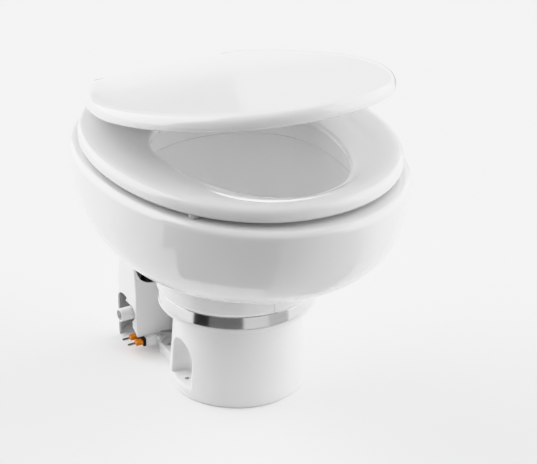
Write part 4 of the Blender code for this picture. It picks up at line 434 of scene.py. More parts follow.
def flowing(rings, parts, closed=False, sharp=()):
    """More rings, on smooth curves through the given ones, straight up to those that are listed as sharp."""
    rings = np.asarray(rings, float)
    total = len(rings)
    made = []
    for k in range(total if closed else total - 1):
        one, two = rings[k], rings[(k + 1) % total]
        before = rings[(k - 1) % total] if closed or k > 0 else 2 * one - two
        after = rings[(k + 2) % total] if closed or k + 2 < total else 2 * two - one
        if k in sharp:
            before = 2 * one - two
        if (k + 1) % total in sharp:
            after = 2 * two - one
        reach = [np.maximum(np.linalg.norm(b - a, axis=1, keepdims=True), 1e-7) ** 0.5
                 for a, b in ((before, one), (one, two), (two, after))]
        first = (one - before) / reach[0] - (two - before) / (reach[0] + reach[1]) + (two - one) / reach[1]
        last = (two - one) / reach[1] - (after - one) / (reach[1] + reach[2]) + (after - two) / reach[2]
        first, last = first * reach[1], last * reach[1]
        for step in range(parts):
            t = step / parts
            made.append(
                (2 * t ** 3 - 3 * t ** 2 + 1) * one + (t ** 3 - 2 * t ** 2 + t) * first
                + (3 * t ** 2 - 2 * t ** 3) * two + (t ** 3 - t ** 2) * last)
    if not closed:
        made.append(rings[-1])
    return made


def turned(profile, steps, x=0.0, y=0.0):
    """A mesh turned about the vertical axis through x, y from a closed profile of radius and height."""
    points, faces = [], []
    count = len(profile)
    for step in range(steps):
        c, s = cos(tau * step / steps), sin(tau * step / steps)
        points += [(x + r * c, y + r * s, z) for r, z in profile]
        here, there = step * count, (step + 1) % steps * count
        for i in range(count):
            j = (i + 1) % count
            if profile[i][0] > 0 or profile[j][0] > 0:
                faces.append((here + i, there + i, there + j, here + j))
    return mesh_from(points, faces, lathe=True)


def curved(start, corner, end, t):
    return (1 - t) ** 2 * start + 2 * t * (1 - t) * corner + t ** 2 * end


def rounded(profile, radii, parts=4):
    """A closed profile with its corners rounded by the given radii, one for each corner."""
    made = []
    for i, (corner, radius) in enumerate(zip(profile, radii)):
        point = Vector(corner)
        if radius <= 0:
            made.append(tuple(point))
            continue
        back, ahead = Vector(profile[i - 1]) - point, Vector(profile[(i + 1) % len(profile)]) - point
        half = back.angle(ahead) / 2
        reach = min(radius / tan(half), 0.48 * back.length, 0.48 * ahead.length)
        start, end = point + back.normalized() * reach, point + ahead.normalized() * reach
        made += [tuple(curved(start, point, end, step / parts)) for step in range(parts + 1)]
    return made


def drum(x, y, low, high, radius, edges, steps=128):
    """An upright round body with rounded lower and upper edges."""
    profile = [(0, low), (radius, low), (radius, high), (0, high)]
    return turned(rounded(profile, [0, *edges, 0]), steps, x, y)


def along_x(y, z, start, end):
    return (start, y, z), (end, y, z)


def along_y(x, z, start, end):
    return (x, start, z), (x, end, z)


def along_z(x, y, start, end):
    return (x, y, start), (x, y, end)


def tube(start, end, radius, steps=48):
    first, last = Vector(start), Vector(end)
    shape = bmesh.new()
    bmesh.ops.create_cone(
        shape, cap_ends=True, segments=steps, radius1=radius, radius2=radius, depth=(last - first).length)
    turn = (last - first).to_track_quat("Z", "Y").to_matrix().to_4x4()
    bmesh.ops.transform(shape, matrix=Matrix.Translation((first + last) / 2) @ turn, verts=shape.verts)
    bmesh.ops.recalc_face_normals(shape, faces=shape.faces)
    return mesh_of(shape)


def bar(start, end, radius, edge=0.0005, end_radius=None, steps=64):
    """A round bar with soft ends."""
    way = Vector(end) - Vector(start)
    last = radius if end_radius is None else end_radius
    mesh = turned(rounded([(0, 0), (radius, 0), (last, way.length), (0, way.length)], [0, edge, edge, 0]), steps)
    mesh.transform(Matrix.Translation(start) @ way.to_track_quat("Z", "Y").to_matrix().to_4x4())
    return mesh


def eased(mesh, width, segments=3, angle=30.0):
    """The mesh with its sharp edges rounded."""
    shape = bmesh.new()
    shape.from_mesh(mesh)
    bmesh.ops.remove_doubles(shape, verts=shape.verts, dist=2 * WELD)
    limit = radians(angle)
    sharp = [edge for edge in shape.edges if edge.calc_face_angle(0.0) > limit]
    bmesh.ops.bevel(
        shape, geom=sharp, offset=width, segments=segments, profile=0.5, affect="EDGES", clamp_overlap=True)
    bmesh.ops.remove_doubles(shape, verts=shape.verts, dist=2 * WELD)
    shape.to_mesh(mesh)
    shape.free()
    return mesh


def ring(outline, height):
    return [(x, y, height) for x, y in outline]


def prism(outline, bottom, top):
    return skin([ring(outline, bottom), ring(outline, top)])


def block(low, high):
    plan = [(low[0], low[1]), (high[0], low[1]), (high[0], high[1]), (low[0], high[1])]
    return prism(plan, low[2], high[2])


def slab(low, high, edge):
    return eased(block(low, high), edge)


def lid_turned(mesh):
    mesh.transform(
        Matrix.Translation((0, HINGE_Y, HINGE_Z)) @ Matrix.Rotation(-LID_AJAR, 4, "X")
        @ Matrix.Translation((0, -HINGE_Y, -HINGE_Z)))
    return mesh


# Outlines

def egg_point(egg, angle, inset=0.0):
    width, centre_y, front, rear, front_power, rear_power = egg
    across, along = cos(angle), sin(angle)
    length, power = (front, front_power) if along < 0 else (rear, rear_power)
    x = (width / 2 - inset) * copysign(abs(across) ** (2 / power), across)
    return x, centre_y + (length - inset) * copysign(abs(along) ** (2 / power), along)


def egg_outline(egg, inset=0.0, back=None, corner=0.0):
    """An egg's outline, cut off softly at the line y = back."""
    outline = []
    for step in range(EGG_POINTS):
        x, y = egg_point(egg, tau * step / EGG_POINTS, inset)
        if back is not None:
            share = min(max(0.5 + 0.5 * (back - inset - y) / corner, 0.0), 1.0)
            y = (back - inset) + (y - back + inset) * share - corner * share * (1.0 - share)
        outline.append((x, y))
    return outline


def circle(radius, outline):
    return [(radius * x / hypot(x, y), radius * y / hypot(x, y)) for x, y in outline]


def mixed(first, last, share):
    return [(a + (c - a) * share, b + (d - b) * share) for (a, b), (c, d) in zip(first, last)]


def quarter(parts):
    """The cosine and sine of each step of a quarter turn."""
    turns = [radians(90 * step / parts) for step in range(parts + 1)]
    return [(cos(turn), sin(turn)) for turn in turns]


# Pieces

def placed(name, data):
    item = bpy.data.objects.new(name, data)
    bpy.context.scene.collection.objects.link(item)
    return item


def cut(mesh):
    return "DIFFERENCE", mesh


def join(mesh):
    return "UNION", mesh


def carve(item, steps):
    """Cuts with or joins each tool in turn."""
    for operation, mesh in steps:
        tool = placed("tool", mesh)
        step = item.modifiers.new("carve", "BOOLEAN")
        step.operation = operation
        step.solver = "MANIFOLD"
        step.object = tool
        bpy.context.view_layer.update()
        graph = bpy.context.evaluated_depsgraph_get()
        carved = bpy.data.meshes.new_from_object(item.evaluated_get(graph), depsgraph=graph)
        item.modifiers.clear()
        item.data = carved
        bpy.data.objects.remove(tool)


def piece(name, node, mesh, *steps, body="toilet", look=None, smooth=34.0, after=None):
    """Makes a piece that stands for a node: carved by the steps, changed by after, with the look of the node's slot."""
    slot = SLOTS[node]
    mesh.name = name
    mesh.materials.append(FINISHES[look or slot])
    item = placed(name, mesh)
    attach(item, body)
    carve(item, steps)
    if after:
        after(item.data)
    item.data.shade_smooth()
    item.data.set_sharp_from_angle(angle=radians(smooth))
    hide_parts(node)


def bowl_rings():
    """One closed skin: foot, collar, belly, rim, mouth, basin and drain, then back under the basin and the rim."""
    wide = egg_outline(BOWL_EGG)
    shoulder = BAND_TOP + GAP
    lip = RIM_ROUND / 2
    rings = []

    def add(outline, height):
        rings.append(ring(outline, height))

    def add_circle(radius, height):
        add(circle(radius, wide), height)

    def add_belly(share, inset=0.0):
        spread = (1 - (1 - share) ** BELLY_RISE_POWER) ** (1 / BELLY_SPREAD_POWER)
        outer = egg_outline(BOWL_EGG, inset)
        add(mixed(circle(COLLAR_RADIUS - inset, outer), outer, spread), BELLY_BOTTOM + inset + share * BELLY_RISE)

    def basin(share, outset=0.0):
        spread = (1 - (1 - share) ** BASIN_POWER) ** (1 / BASIN_SPREAD_POWER)
        outer = egg_outline(MOUTH_EGG, -outset - RIM_UNDERCUT)
        return mixed(circle(DRAIN_RADIUS + outset, outer), outer, spread)

    add_circle(GRIP_RADIUS - COLLAR_WALL, BOWL_BOTTOM)
    add_circle(GRIP_RADIUS - COLLAR_EDGE, BOWL_BOTTOM)
    add_circle(GRIP_RADIUS, BOWL_BOTTOM + COLLAR_EDGE)
    add_circle(GRIP_RADIUS, shoulder)
    for c, s in quarter(6):
        radius = FLANGE_RADIUS + (COLLAR_RADIUS - FLANGE_RADIUS) * s
        add_circle(radius, shoulder + COLLAR_EDGE + COLLAR_ROUND * (1 - c))
    add_circle(COLLAR_RADIUS, shoulder + COLLAR_TOP_SHARE * (BELLY_BOTTOM - shoulder))
    for step in range(1, 44):
        add_belly(0.004 + 0.84 * (step / 43) ** 1.7)
    for c, s in quarter(12):
        add(egg_outline(BOWL_EGG, RIM_ROUND * (1 - c)), RIM_TOP - RIM_ROUND * (1 - s))
    for c, s in quarter(8):
        add(egg_outline(MOUTH_EGG, -lip * (1 - s)), RIM_TOP - lip * (1 - c))
    for c, s in quarter(4):
        add(egg_outline(MOUTH_EGG, -MOUTH_ROUND * (1 - c)), BASIN_TOP + lip * (1 - s))
    for step in range(1, 40):
        share = 0.93 * (1 - step / 40) ** 1.5 + 0.006
        add(basin(share), BASIN_FOOT + share * BASIN_DEPTH)
    add_circle(DRAIN_RADIUS, BASIN_FOOT - DRAIN_RADIUS / 8)
    add_circle(DRAIN_RADIUS, BASIN_FOOT - DRAIN_DROP)
    add_circle(DRAIN_RADIUS + CERAMIC_WALL, BASIN_FOOT - DRAIN_DROP)
    add_circle(DRAIN_RADIUS + CERAMIC_WALL, BASIN_FOOT - CERAMIC_WALL)
    for share in (0.03, 0.1, 0.2, 0.35, 0.5, 0.7):
        add(basin(share, CERAMIC_WALL), BASIN_FOOT - CERAMIC_WALL + share * BASIN_DEPTH)
    add(basin(1.0, CERAMIC_WALL), RIM_TOP - CERAMIC_WALL)
    add(egg_outline(BOWL_EGG, RIM_ROUND + CERAMIC_WALL / 2), RIM_TOP - CERAMIC_WALL)
    for share in (0.82, 0.65, 0.5, 0.37, 0.25, 0.16, 0.1):
        add_belly(share, CERAMIC_WALL)
    add_circle(COLLAR_RADIUS - COLLAR_WALL, BELLY_BOTTOM)
    return rings


def make_bowl():
    rear = BOWL_BACK + SPUD_BOSS
    low, high = RIM_TOP - RIM_HOLE_DEPTH, RIM_TOP + OVERRUN
    holes = [cut(tube(*along_z(side * HINGE_X, HINGE_Y, low, high), RIM_HOLE_RADIUS)) for side in (-1, 1)]
    piece(
        "bowl_shell", "bowl", skin(bowl_rings(), closed=True), *holes,
        join(tube(*along_y(0, SPUD_HEIGHT, BOWL_BACK - CERAMIC_WALL, rear), SPUD_BOSS_RADIUS)),
        cut(tube(*along_y(0, SPUD_HEIGHT, BOWL_BACK - 2 * CERAMIC_WALL, rear + OVERRUN), SPUD_RADIUS + GAP)),
        cut(tube(*along_z(SEAM_X, SEAM_Y, BAND_TOP, SEAM_TOP), SEAM_RADIUS, 12)), smooth=40.0)


def make_seat():
    def outer(inset, height):
        outline = egg_outline(SEAT_EGG, inset * SEAT_THICKNESS, SEAT_BACK, SEAT_CORNER)
        return ring(outline, SEAT_BOTTOM + height * SEAT_THICKNESS)

    def inner(outset, height):
        return ring(egg_outline(OPENING_EGG, -outset), SEAT_BOTTOM + height)

    shares = ((0.17, 0.00), (0.03, 0.17), (0.00, 0.42), (0.05, 0.68), (0.20, 0.88), (0.48, 0.98), (0.95, 1.00))
    middle = mixed(egg_outline(SEAT_EGG, SEAT_THICKNESS, SEAT_BACK, SEAT_CORNER), egg_outline(OPENING_EGG), 0.5)
    inner_top = SEAT_THICKNESS - SEAT_DISH
    under = 0.15 * SEAT_DISH
    rings = [outer(*share) for share in shares]
    rings.append(ring(middle, SEAT_TOP - 0.42 * SEAT_DISH))
    for outset, up in ((0.85, 0.10), (0.25, -0.10), (0.00, -0.40)):
        rings.append(inner(outset * SEAT_DISH, inner_top + up * SEAT_DISH))
    rings += [inner(0.0, under), inner(under, 0.0)]
    mesh = skin(flowing(rings, 6, closed=True, sharp=(0, len(rings) - 1)), closed=True)
    piece("seat_form", "seat_ring", mesh, body="seat", smooth=40.0)


def make_lid():
    shares = (
        (0.35, 0.00), (0.10, 0.08), (0.00, 0.25), (0.02, 0.45),
        (0.18, 0.68), (0.50, 0.86), (1.00, 0.96), (3.00, 1.00),
    )
    rings = []
    for inset, up in shares:
        outline = egg_outline(LID_EGG, inset * LID_EDGE, LID_BACK, LID_CORNER)
        rings.append(ring(outline, LID_BOTTOM + up * LID_THICKNESS))
    mesh = lid_turned(skin(flowing(rings, 6, sharp=(0,))))
    piece("lid_form", "lid_panel", mesh, body="lid", smooth=40.0)


def wall_radius(height):
    return FOOT_RADIUS + (WALL_TOP_RADIUS - FOOT_RADIUS) * height / BAND_BOTTOM


def pedestal_profile():
    """Heights and outer radii of the pedestal: foot, wall with its step, cone and flange."""
    points = [(FOOT_ROUND * (1 - c), FOOT_RADIUS - FOOT_ROUND * (1 - s)) for c, s in quarter(5)]
    points += [
        (STEP_HEIGHT, wall_radius(STEP_HEIGHT) - STEP_DEPTH),
        (STEP_HEIGHT + STEP_DEPTH, wall_radius(STEP_HEIGHT)),
        (CONE_FOOT, wall_radius(CONE_FOOT)),
    ]
    for step in range(1, 13):
        up = step / 12
        radius = WALL_TOP_RADIUS + (FLANGE_RADIUS - STEP_DEPTH - WALL_TOP_RADIUS) * up ** CONE_POWER
        height = CONE_FOOT + (FLANGE_FOOT - CONE_FOOT) * up
        points.append((height, max(radius, wall_radius(height))))
    points.append((FLANGE_FOOT + STEP_DEPTH, FLANGE_RADIUS))
    top = BAND_BOTTOM - GAP
    return points + [(top - FLANGE_EDGE * (1 - s), FLANGE_RADIUS - FLANGE_EDGE * (1 - c)) for c, s in quarter(5)]


def smooth_max(one, two, reach):
    share = np.maximum(reach - np.abs(one - two), 0.0) / reach
    return np.maximum(one, two) + share * share * reach / 4


def pedestal_rings():
    """The outer surface with its two side pockets, found along rays from the axis."""
    heights, radii = zip(*pedestal_profile())
    # Rows in millimetres, closest at the pocket's floor and its round top
    levels = [6, 9, 10.5, 11.5, 12.3, 13, 13.5, 13.9, 14.2, 14.35, 14.45, 14.5, 14.55, 14.7, 15, 15.6, 16.5]
    levels += [*range(18, 60, 3), *(60 + 0.9 * v for v in range(20))]
    rows = np.array(sorted({*heights, *(0.001 * v for v in levels)}))
    # Directions in degrees from the pocket's middle, closest at its edge
    side = [1.3 * v for v in range(1, 10)] + [0.25 * v for v in range(52, 80)]
    side += [21.5 + 2.2 * v for v in range(1, 31)]
    angles = [radians(v) for v in side]
    starts = ((0.0, 1), (pi, -1), (pi, 1), (tau, -1))
    turns = np.array(sorted(
        [start + sign * v for start, sign in starts for v in angles] + [0.0, pi / 2, pi, 1.5 * pi]))
    outer = np.interp(rows, heights, radii)[:, None, None]
    height = rows[:, None, None]
    cosine, sine = np.abs(np.cos(turns))[None, :, None], np.sin(turns)[None, :, None]

    def solid(reach):
        rise = np.maximum(height - (POCKET_TOP - POCKET_RADIUS), 0.0)
        hollow = np.sqrt((reach * cosine - POCKET_X) ** 2 + (reach * sine) ** 2 + rise ** 2) - POCKET_RADIUS
        hollow = smooth_max(hollow, POCKET_FLOOR - height, POCKET_CORNER)
        return smooth_max(reach - outer, -hollow, POCKET_EDGE)

    steps = np.linspace(0.004, -0.040, 177)[None, None, :]
    first = np.argmax(solid(outer + steps) <= 0, axis=2)
    high = outer[:, :, 0] + steps[0, 0, np.maximum(first - 1, 0)]
    low = outer[:, :, 0] + steps[0, 0, first]
    for _ in range(22):
        middle = (high + low) / 2
        inside = solid(middle[:, :, None])[:, :, 0] <= 0
        low = np.where(inside, middle, low)
        high = np.where(inside, high, middle)
    plain = (height > POCKET_TOP + POCKET_EDGE) | (height < POCKET_FLOOR - POCKET_EDGE) | (cosine < POCKET_COSINE)
    reach = np.where(plain[:, :, 0], outer[:, :, 0], low)
    ways = np.stack([np.cos(turns), np.sin(turns)], axis=1)

    def level_ring(reach, level):
        return np.column_stack([ways * reach, np.full(len(turns), level)])

    rings = [level_ring(reach[k][:, None], row) for k, row in enumerate(rows)]
    top = (
        (GRIP_RADIUS, BAND_BOTTOM - GAP), (GRIP_RADIUS, PEDESTAL_TOP),
        (SUMP_SEAT_RADIUS, PEDESTAL_TOP), (SUMP_SEAT_RADIUS, SUMP_SEAT))
    return rings + [level_ring(*entry) for entry in top]


def ear_arc(side, inset, steps=14):
    reach = TONGUE_CORNER * cos(TONGUE_TURN)
    outline = []
    for step in range(steps + 1):
        angle = TONGUE_TURN + (pi / 2 - 2 * TONGUE_TURN) * step / steps
        x = TONGUE_HALF_WIDTH - reach + (TONGUE_CORNER - inset) * cos(angle)
        y = TONGUE_REAR - reach + (TONGUE_CORNER - inset) * sin(angle)
        outline.append((side * x, y))
    return outline if side > 0 else outline[::-1]


def ear_pocket(side):
    arc = ear_arc(side, EAR_RIM)
    rear, outer = max(y for _, y in arc), max(abs(x) for x, _ in arc)
    near, inner = rear - EAR_POCKET_LENGTH, side * (outer - EAR_POCKET_WIDTH)
    outline = [(side * outer, near), *arc, (inner, rear), (inner, near)]
    if side < 0:
        outline = [(inner, near), (inner, rear), *arc, (side * outer, near)]
    return eased(prism(outline, EAR_FLOOR, TONGUE_HEIGHT + 2 * OVERRUN), SHELF_EDGE)


def pocket_boss(side):
    """The wall behind a side pocket, with a round top."""
    radius, top = POCKET_RADIUS + PEDESTAL_WALL, POCKET_TOP + PEDESTAL_WALL
    dome = [(radius * c, top - radius + radius * s) for c, s in quarter(10)[:-1]]
    return turned([(0, -2 * OVERRUN), (radius, -2 * OVERRUN), *dome, (0, top)], 40, side * POCKET_X)


def cover_screw_bar(side, radius, overrun):
    """A bar through the lug and the cover's rear wall, for a screw or for its hole."""
    start = SHELF_REAR - LUG_THICKNESS + STEP_DEPTH
    x = PUMP_X + side * COVER_SCREW_SPACING / 2
    return bar(*along_y(x, COVER_SCREW_HEIGHT, start, COVER_REAR + overrun), radius, 0, steps=24)


def cover_screw_hole(side):
    return cut(cover_screw_bar(side, SCREW_RADIUS + GAP, OVERRUN))


def make_pedestal():
    hollow = placed("hollow", turned([
        (0, -OVERRUN), (FOOT_RADIUS - PEDESTAL_WALL - FOOT_ROUND, -OVERRUN),
        (wall_radius(DECK) - PEDESTAL_WALL, DECK), (DECK_BORE_RADIUS, DECK),
        (DECK_BORE_RADIUS, PEDESTAL_TOP + OVERRUN), (0, PEDESTAL_TOP + OVERRUN)], 72))
    carve(hollow, [cut(pocket_boss(side)) for side in (-1, 1)])
    inside = hollow.data
    bpy.data.objects.remove(hollow)
    tongue = [
        (-TONGUE_HALF_WIDTH, TONGUE_START), (TONGUE_HALF_WIDTH, TONGUE_START), *ear_arc(1, 0.0), *ear_arc(-1, 0.0)]
    shelf = ((PUMP_X - SHELF_HALF_WIDTH, TONGUE_START, 0.0), (PUMP_X + SHELF_HALF_WIDTH, SHELF_REAR, TONGUE_HEIGHT))
    lug = (
        (PUMP_X - LUG_HALF_WIDTH, SHELF_REAR - LUG_THICKNESS, TONGUE_HEIGHT - OVERRUN),
        (PUMP_X + LUG_HALF_WIDTH, SHELF_REAR, LUG_TOP))
    steps = [
        join(eased(prism(tongue, 0.0, TONGUE_HEIGHT), SHELF_EDGE)),
        join(slab(*shelf, SHELF_EDGE)),
        join(slab(*lug, SHELF_EDGE)),
        cut(inside),
        cut(tube(*along_y(PIPE_X, PIPE_HEIGHT, 0, FOOT_RADIUS + OVERRUN), PIPE_RADIUS + GAP)),
    ]
    for side in (-1, 1):
        side_hole = along_z(side * SIDE_HOLE_X, 0, -OVERRUN, POCKET_FLOOR + 2 * OVERRUN)
        ear_hole = along_z(side * EAR_HOLE[0], EAR_HOLE[1], -OVERRUN, EAR_FLOOR + OVERRUN)
        steps += [cut(ear_pocket(side)), *(cut(tube(*line, HOLE_RADIUS, 32)) for line in (side_hole, ear_hole))]
        steps.append(cover_screw_hole(side))
    piece("pedestal_form", "base_pedestal", skin(pedestal_rings()), *steps, smooth=30.0)


def ear_place(out, across, height=0.0):
    c, s = cos(BAND_EAR_ANGLE), sin(BAND_EAR_ANGLE)
    return Vector((out * c - across * s, out * s + across * c, height))


def bolt_place(across):
    return ear_place(FLANGE_RADIUS + BAND_EAR_REACH / 2, across, (BAND_BOTTOM + BAND_TOP) / 2)


def make_band():
    """A strip bent once round the flange, with both ends bent out into ears for the bolt."""
    half = BAND_THICKNESS / 2
    middle = FLANGE_RADIUS - half
    across = BAND_EAR_GAP / 2 + half
    opening = asin((across + BAND_BEND) / middle)

    def on_band(angle):
        return Vector((middle * cos(angle), middle * sin(angle), 0))

    path = [ear_place(FLANGE_RADIUS + BAND_EAR_REACH, across), ear_place(middle + BAND_BEND + 0.001, across)]
    start, first, corner = path[-1], on_band(BAND_EAR_ANGLE + opening), ear_place(middle, across)
    path += [curved(start, corner, first, t) for t in (0.2, 0.4, 0.6, 0.8)]
    steps = 240
    for step in range(steps + 1):
        path.append(on_band(BAND_EAR_ANGLE + opening + (tau - 2 * opening) * step / steps))
    turn = Matrix.Rotation(BAND_EAR_ANGLE, 4, "Z")
    flip = turn @ Matrix.Scale(-1, 4, (0, 1, 0)) @ turn.transposed()
    path += [flip @ point for point in reversed(path[:6])]
    section = rounded(
        [(-half, BAND_BOTTOM), (half, BAND_BOTTOM), (half, BAND_TOP), (-half, BAND_TOP)], [half * 0.9] * 4)
    rings = []
    for k, point in enumerate(path):
        way = (path[min(k + 1, len(path) - 1)] - path[max(k - 1, 0)]).normalized()
        out = Vector((way.y, -way.x, 0))
        rings.append([tuple(point + out * offset + Vector((0, 0, height))) for offset, height in section])
    piece(
        "band_form", "clamp_band", skin(rings),
        cut(tube(bolt_place(-0.02), bolt_place(0.02), CLAMP_BOLT_RADIUS + GAP)), look="stainless_band", smooth=40.0)


def make_clamp_bolt():
    ear = BAND_EAR_GAP / 2 + BAND_EAR_THICKNESS
    head = ear + GAP
    end = head + CLAMP_HEAD_LENGTH
    shank = bar(bolt_place(-ear - CLAMP_BOLT_SPARE), bolt_place(head + 0.001), CLAMP_BOLT_RADIUS)
    piece(
        "bolt_form", "clamp_bolt", shank,
        join(bar(bolt_place(head), bolt_place(end), CLAMP_HEAD_RADIUS, SOFT_EDGE)),
        cut(tube(bolt_place(end - CLAMP_SOCKET_DEPTH), bolt_place(end + OVERRUN), CLAMP_SOCKET_RADIUS, 6)))
    piece(
        "nut_form", "clamp_nut", eased(tube(bolt_place(-head), bolt_place(-end), CLAMP_HEAD_RADIUS, 6), 0.0004),
        cut(tube(bolt_place(-head + OVERRUN), bolt_place(-head - 0.006), CLAMP_BOLT_RADIUS + GAP)))


def rounded_plan(left, right, front, rear, front_corner, rear_corner, steps=20):
    outline = []
    corners = (
        (left, front, front_corner, 180), (right, front, front_corner, 270),
        (right, rear, rear_corner, 0), (left, rear, rear_corner, 90))
    for x, y, radius, start in corners:
        centre_x = x + radius if x == left else x - radius
        centre_y = y + radius if y == front else y - radius
        for step in range(steps + 1):
            angle = radians(start + 90 * step / steps)
            outline.append((centre_x + radius * cos(angle), centre_y + radius * sin(angle)))
    return outline


def cover_mesh(inset, bottom, top):
    rings = []
    for height_share, side_share, front_share, rear_share in COVER_DRAFT_SHARES:
        side, front, rear = (inset + share * COVER_DRAFT for share in (side_share, front_share, rear_share))
        plan = rounded_plan(
            COVER_LEFT + side, COVER_RIGHT - side, COVER_FRONT + front, COVER_REAR - rear,
            COVER_FRONT_CORNER, COVER_REAR_CORNER - inset - side_share * COVER_DRAFT)
        rings.append(ring(plan, bottom + (top - bottom) * height_share))
    return skin(flowing(rings, 5, sharp=(0,)))


def arch(direction, low, high, top, near, far, steps=32):
    """An arched opening from near to far along X or Y."""
    radius = (high - low) / 2
    outline = [(low, -OVERRUN), (high, -OVERRUN)]
    for step in range(steps + 1):
        angle = pi * step / steps
        outline.append((low + radius + radius * cos(angle), top - radius + radius * sin(angle)))
    if direction == "X":
        return skin([[(depth, across, z) for across, z in outline] for depth in (near, far)])
    return skin([[(across, depth, z) for across, z in outline] for depth in (near, far)])


def make_cover():
    before, behind = COVER_FRONT - OVERRUN, COVER_FRONT + COVER_WALL
    outside, inside = COVER_LEFT - OVERRUN, COVER_LEFT + COVER_WALL + OVERRUN
    piece(
        "cover_form", "pump_cover", cover_mesh(0.0, 0.0, COVER_TOP),
        cut(cover_mesh(COVER_WALL, -OVERRUN, COVER_TOP - COVER_WALL)),
        cut(block((outside, before, -OVERRUN), (COVER_RIGHT + OVERRUN, behind + OVERRUN, COVER_FRONT_LIFT))),
        cut(tube(*along_y(NOTCH_X, NOTCH_HEIGHT, before, behind + COVER_DRAFT / 2), NOTCH_RADIUS, 96)),
        cut(arch("Y", *PIPE_ARCH, before, behind + OVERRUN)),
        cut(arch("X", *OUTLET_ARCH, outside, COVER_LEFT + OUTLET_ARCH_DEPTH)),
        cut(tube(*along_x(SPIGOT_Y, SPIGOT_HEIGHT, outside, inside), SPIGOT_RADIUS + SPIGOT_CLEARANCE, 64)),
        cut(arch("X", *VALVE_ARCH, outside, inside)),
        *(cover_screw_hole(side) for side in (-1, 1)),
        smooth=32.0, after=lambda mesh: eased(mesh, COVER_EDGE, 2, 38.0))
    for side, word in ((-1, "right"), (1, "left")):
        x, z, head = PUMP_X + side * COVER_SCREW_SPACING / 2, COVER_SCREW_HEIGHT, COVER_REAR + GAP
        slot = slab(
            (x - COVER_SLOT_REACH, head + COVER_SLOT_FLOOR, z - COVER_SLOT_HALF),
            (x + COVER_SLOT_REACH, head + 2 * OVERRUN, z + COVER_SLOT_HALF), 0.0001)
        piece(
            f"cover_screw_{word}_form", f"cover_screw_{word}", cover_screw_bar(side, SCREW_RADIUS, 0.001 + GAP),
            join(bar(*along_y(x, z, head, head + COVER_SCREW_HEAD), COVER_SCREW_HEAD_RADIUS, SOFT_EDGE)),
            cut(slot))


def pump_ear(number):
    angle = tau * number / 3 + PUMP_EAR_ANGLE
    return PUMP_X + PUMP_EAR_CIRCLE * cos(angle), PUMP_Y + PUMP_EAR_CIRCLE * sin(angle)


def make_pump():
    ears = [pump_ear(number) for number in range(3)]
    axis, front = (PUMP_X, PUMP_Y), PIPE_END + PIPE_JOINT_GAP

    def screw_hole(ear, low, high):
        return cut(tube(*along_z(*ear, low, high + OVERRUN), SCREW_RADIUS + GAP, 24))

    spigot = along_x(SPIGOT_Y, SPIGOT_HEIGHT, PUMP_X, SPIGOT_END)
    housing = drum(*axis, PUMP_BOTTOM, PUMP_TOP, PUMP_RADIUS, (0.002, 0.0006))
    piece(
        "pump_form", "pump_housing", housing,
        join(bar(*along_y(PIPE_X, PIPE_HEIGHT, front, PUMP_Y - CHAMBER_RADIUS), PIPE_RADIUS)),
        join(bar(*spigot, SPIGOT_RADIUS, 0.0010, SPIGOT_RADIUS - SPIGOT_TAPER)),
        join(bar(*along_y(NIPPLE_X, NIPPLE_HEIGHT, SPIGOT_Y, NIPPLE_END), NIPPLE_RADIUS, 0.0008)),
        *(join(bar(*along_z(*ear, PUMP_TOP - PUMP_EAR_HEIGHT, PUMP_TOP), PUMP_EAR_RADIUS)) for ear in ears),
        cut(tube(*along_z(*axis, PUMP_BOTTOM + CHAMBER_FLOOR, PUMP_TOP + OVERRUN), CHAMBER_RADIUS, 96)),
        cut(tube(*along_y(PIPE_X, PIPE_HEIGHT, front - OVERRUN, PUMP_Y), PIPE_RADIUS - PIPE_WALL)),
        cut(tube(*along_x(SPIGOT_Y, SPIGOT_HEIGHT, PUMP_X, SPIGOT_END - OVERRUN), SPIGOT_RADIUS - SPIGOT_WALL)),
        cut(tube(*along_y(NIPPLE_X, NIPPLE_HEIGHT, SPIGOT_Y, NIPPLE_END + OVERRUN), NIPPLE_BORE_RADIUS)),
        *(screw_hole(ear, PUMP_TOP - SCREW_DEPTH - GAP, PUMP_TOP) for ear in ears))
    low, high = PUMP_TOP + GAP, PUMP_TOP + GAP + SEAL_PLATE_THICKNESS
    piece(
        "seal_plate_form", "seal_plate", drum(*axis, low, high, PUMP_RADIUS, (0.0005, 0.001)),
        *(join(bar(*along_z(*ear, low, high), PUMP_EAR_RADIUS)) for ear in ears),
        cut(tube(*along_z(*axis, low - OVERRUN, high + OVERRUN), SHAFT_HOLE)),
        *(screw_hole(ear, low - OVERRUN, high) for ear in ears))
    head = high + GAP
    for number, ear in enumerate(ears, 1):
        shank = bar(*along_z(*ear, PUMP_TOP - SCREW_DEPTH, head + 0.0013), SCREW_RADIUS, 0.0003, steps=24)
        piece(
            f"pump_screw_{number}_form", f"pump_screw_{number}", shank,
            join(bar(*along_z(*ear, head, head + SCREW_HEAD), SCREW_HEAD_RADIUS, 0.0010)),
            cut(tube(*along_z(*ear, head + SCREW_SOCKET_LOW, head + SCREW_SOCKET_HIGH), SCREW_SOCKET_RADIUS, 6)))


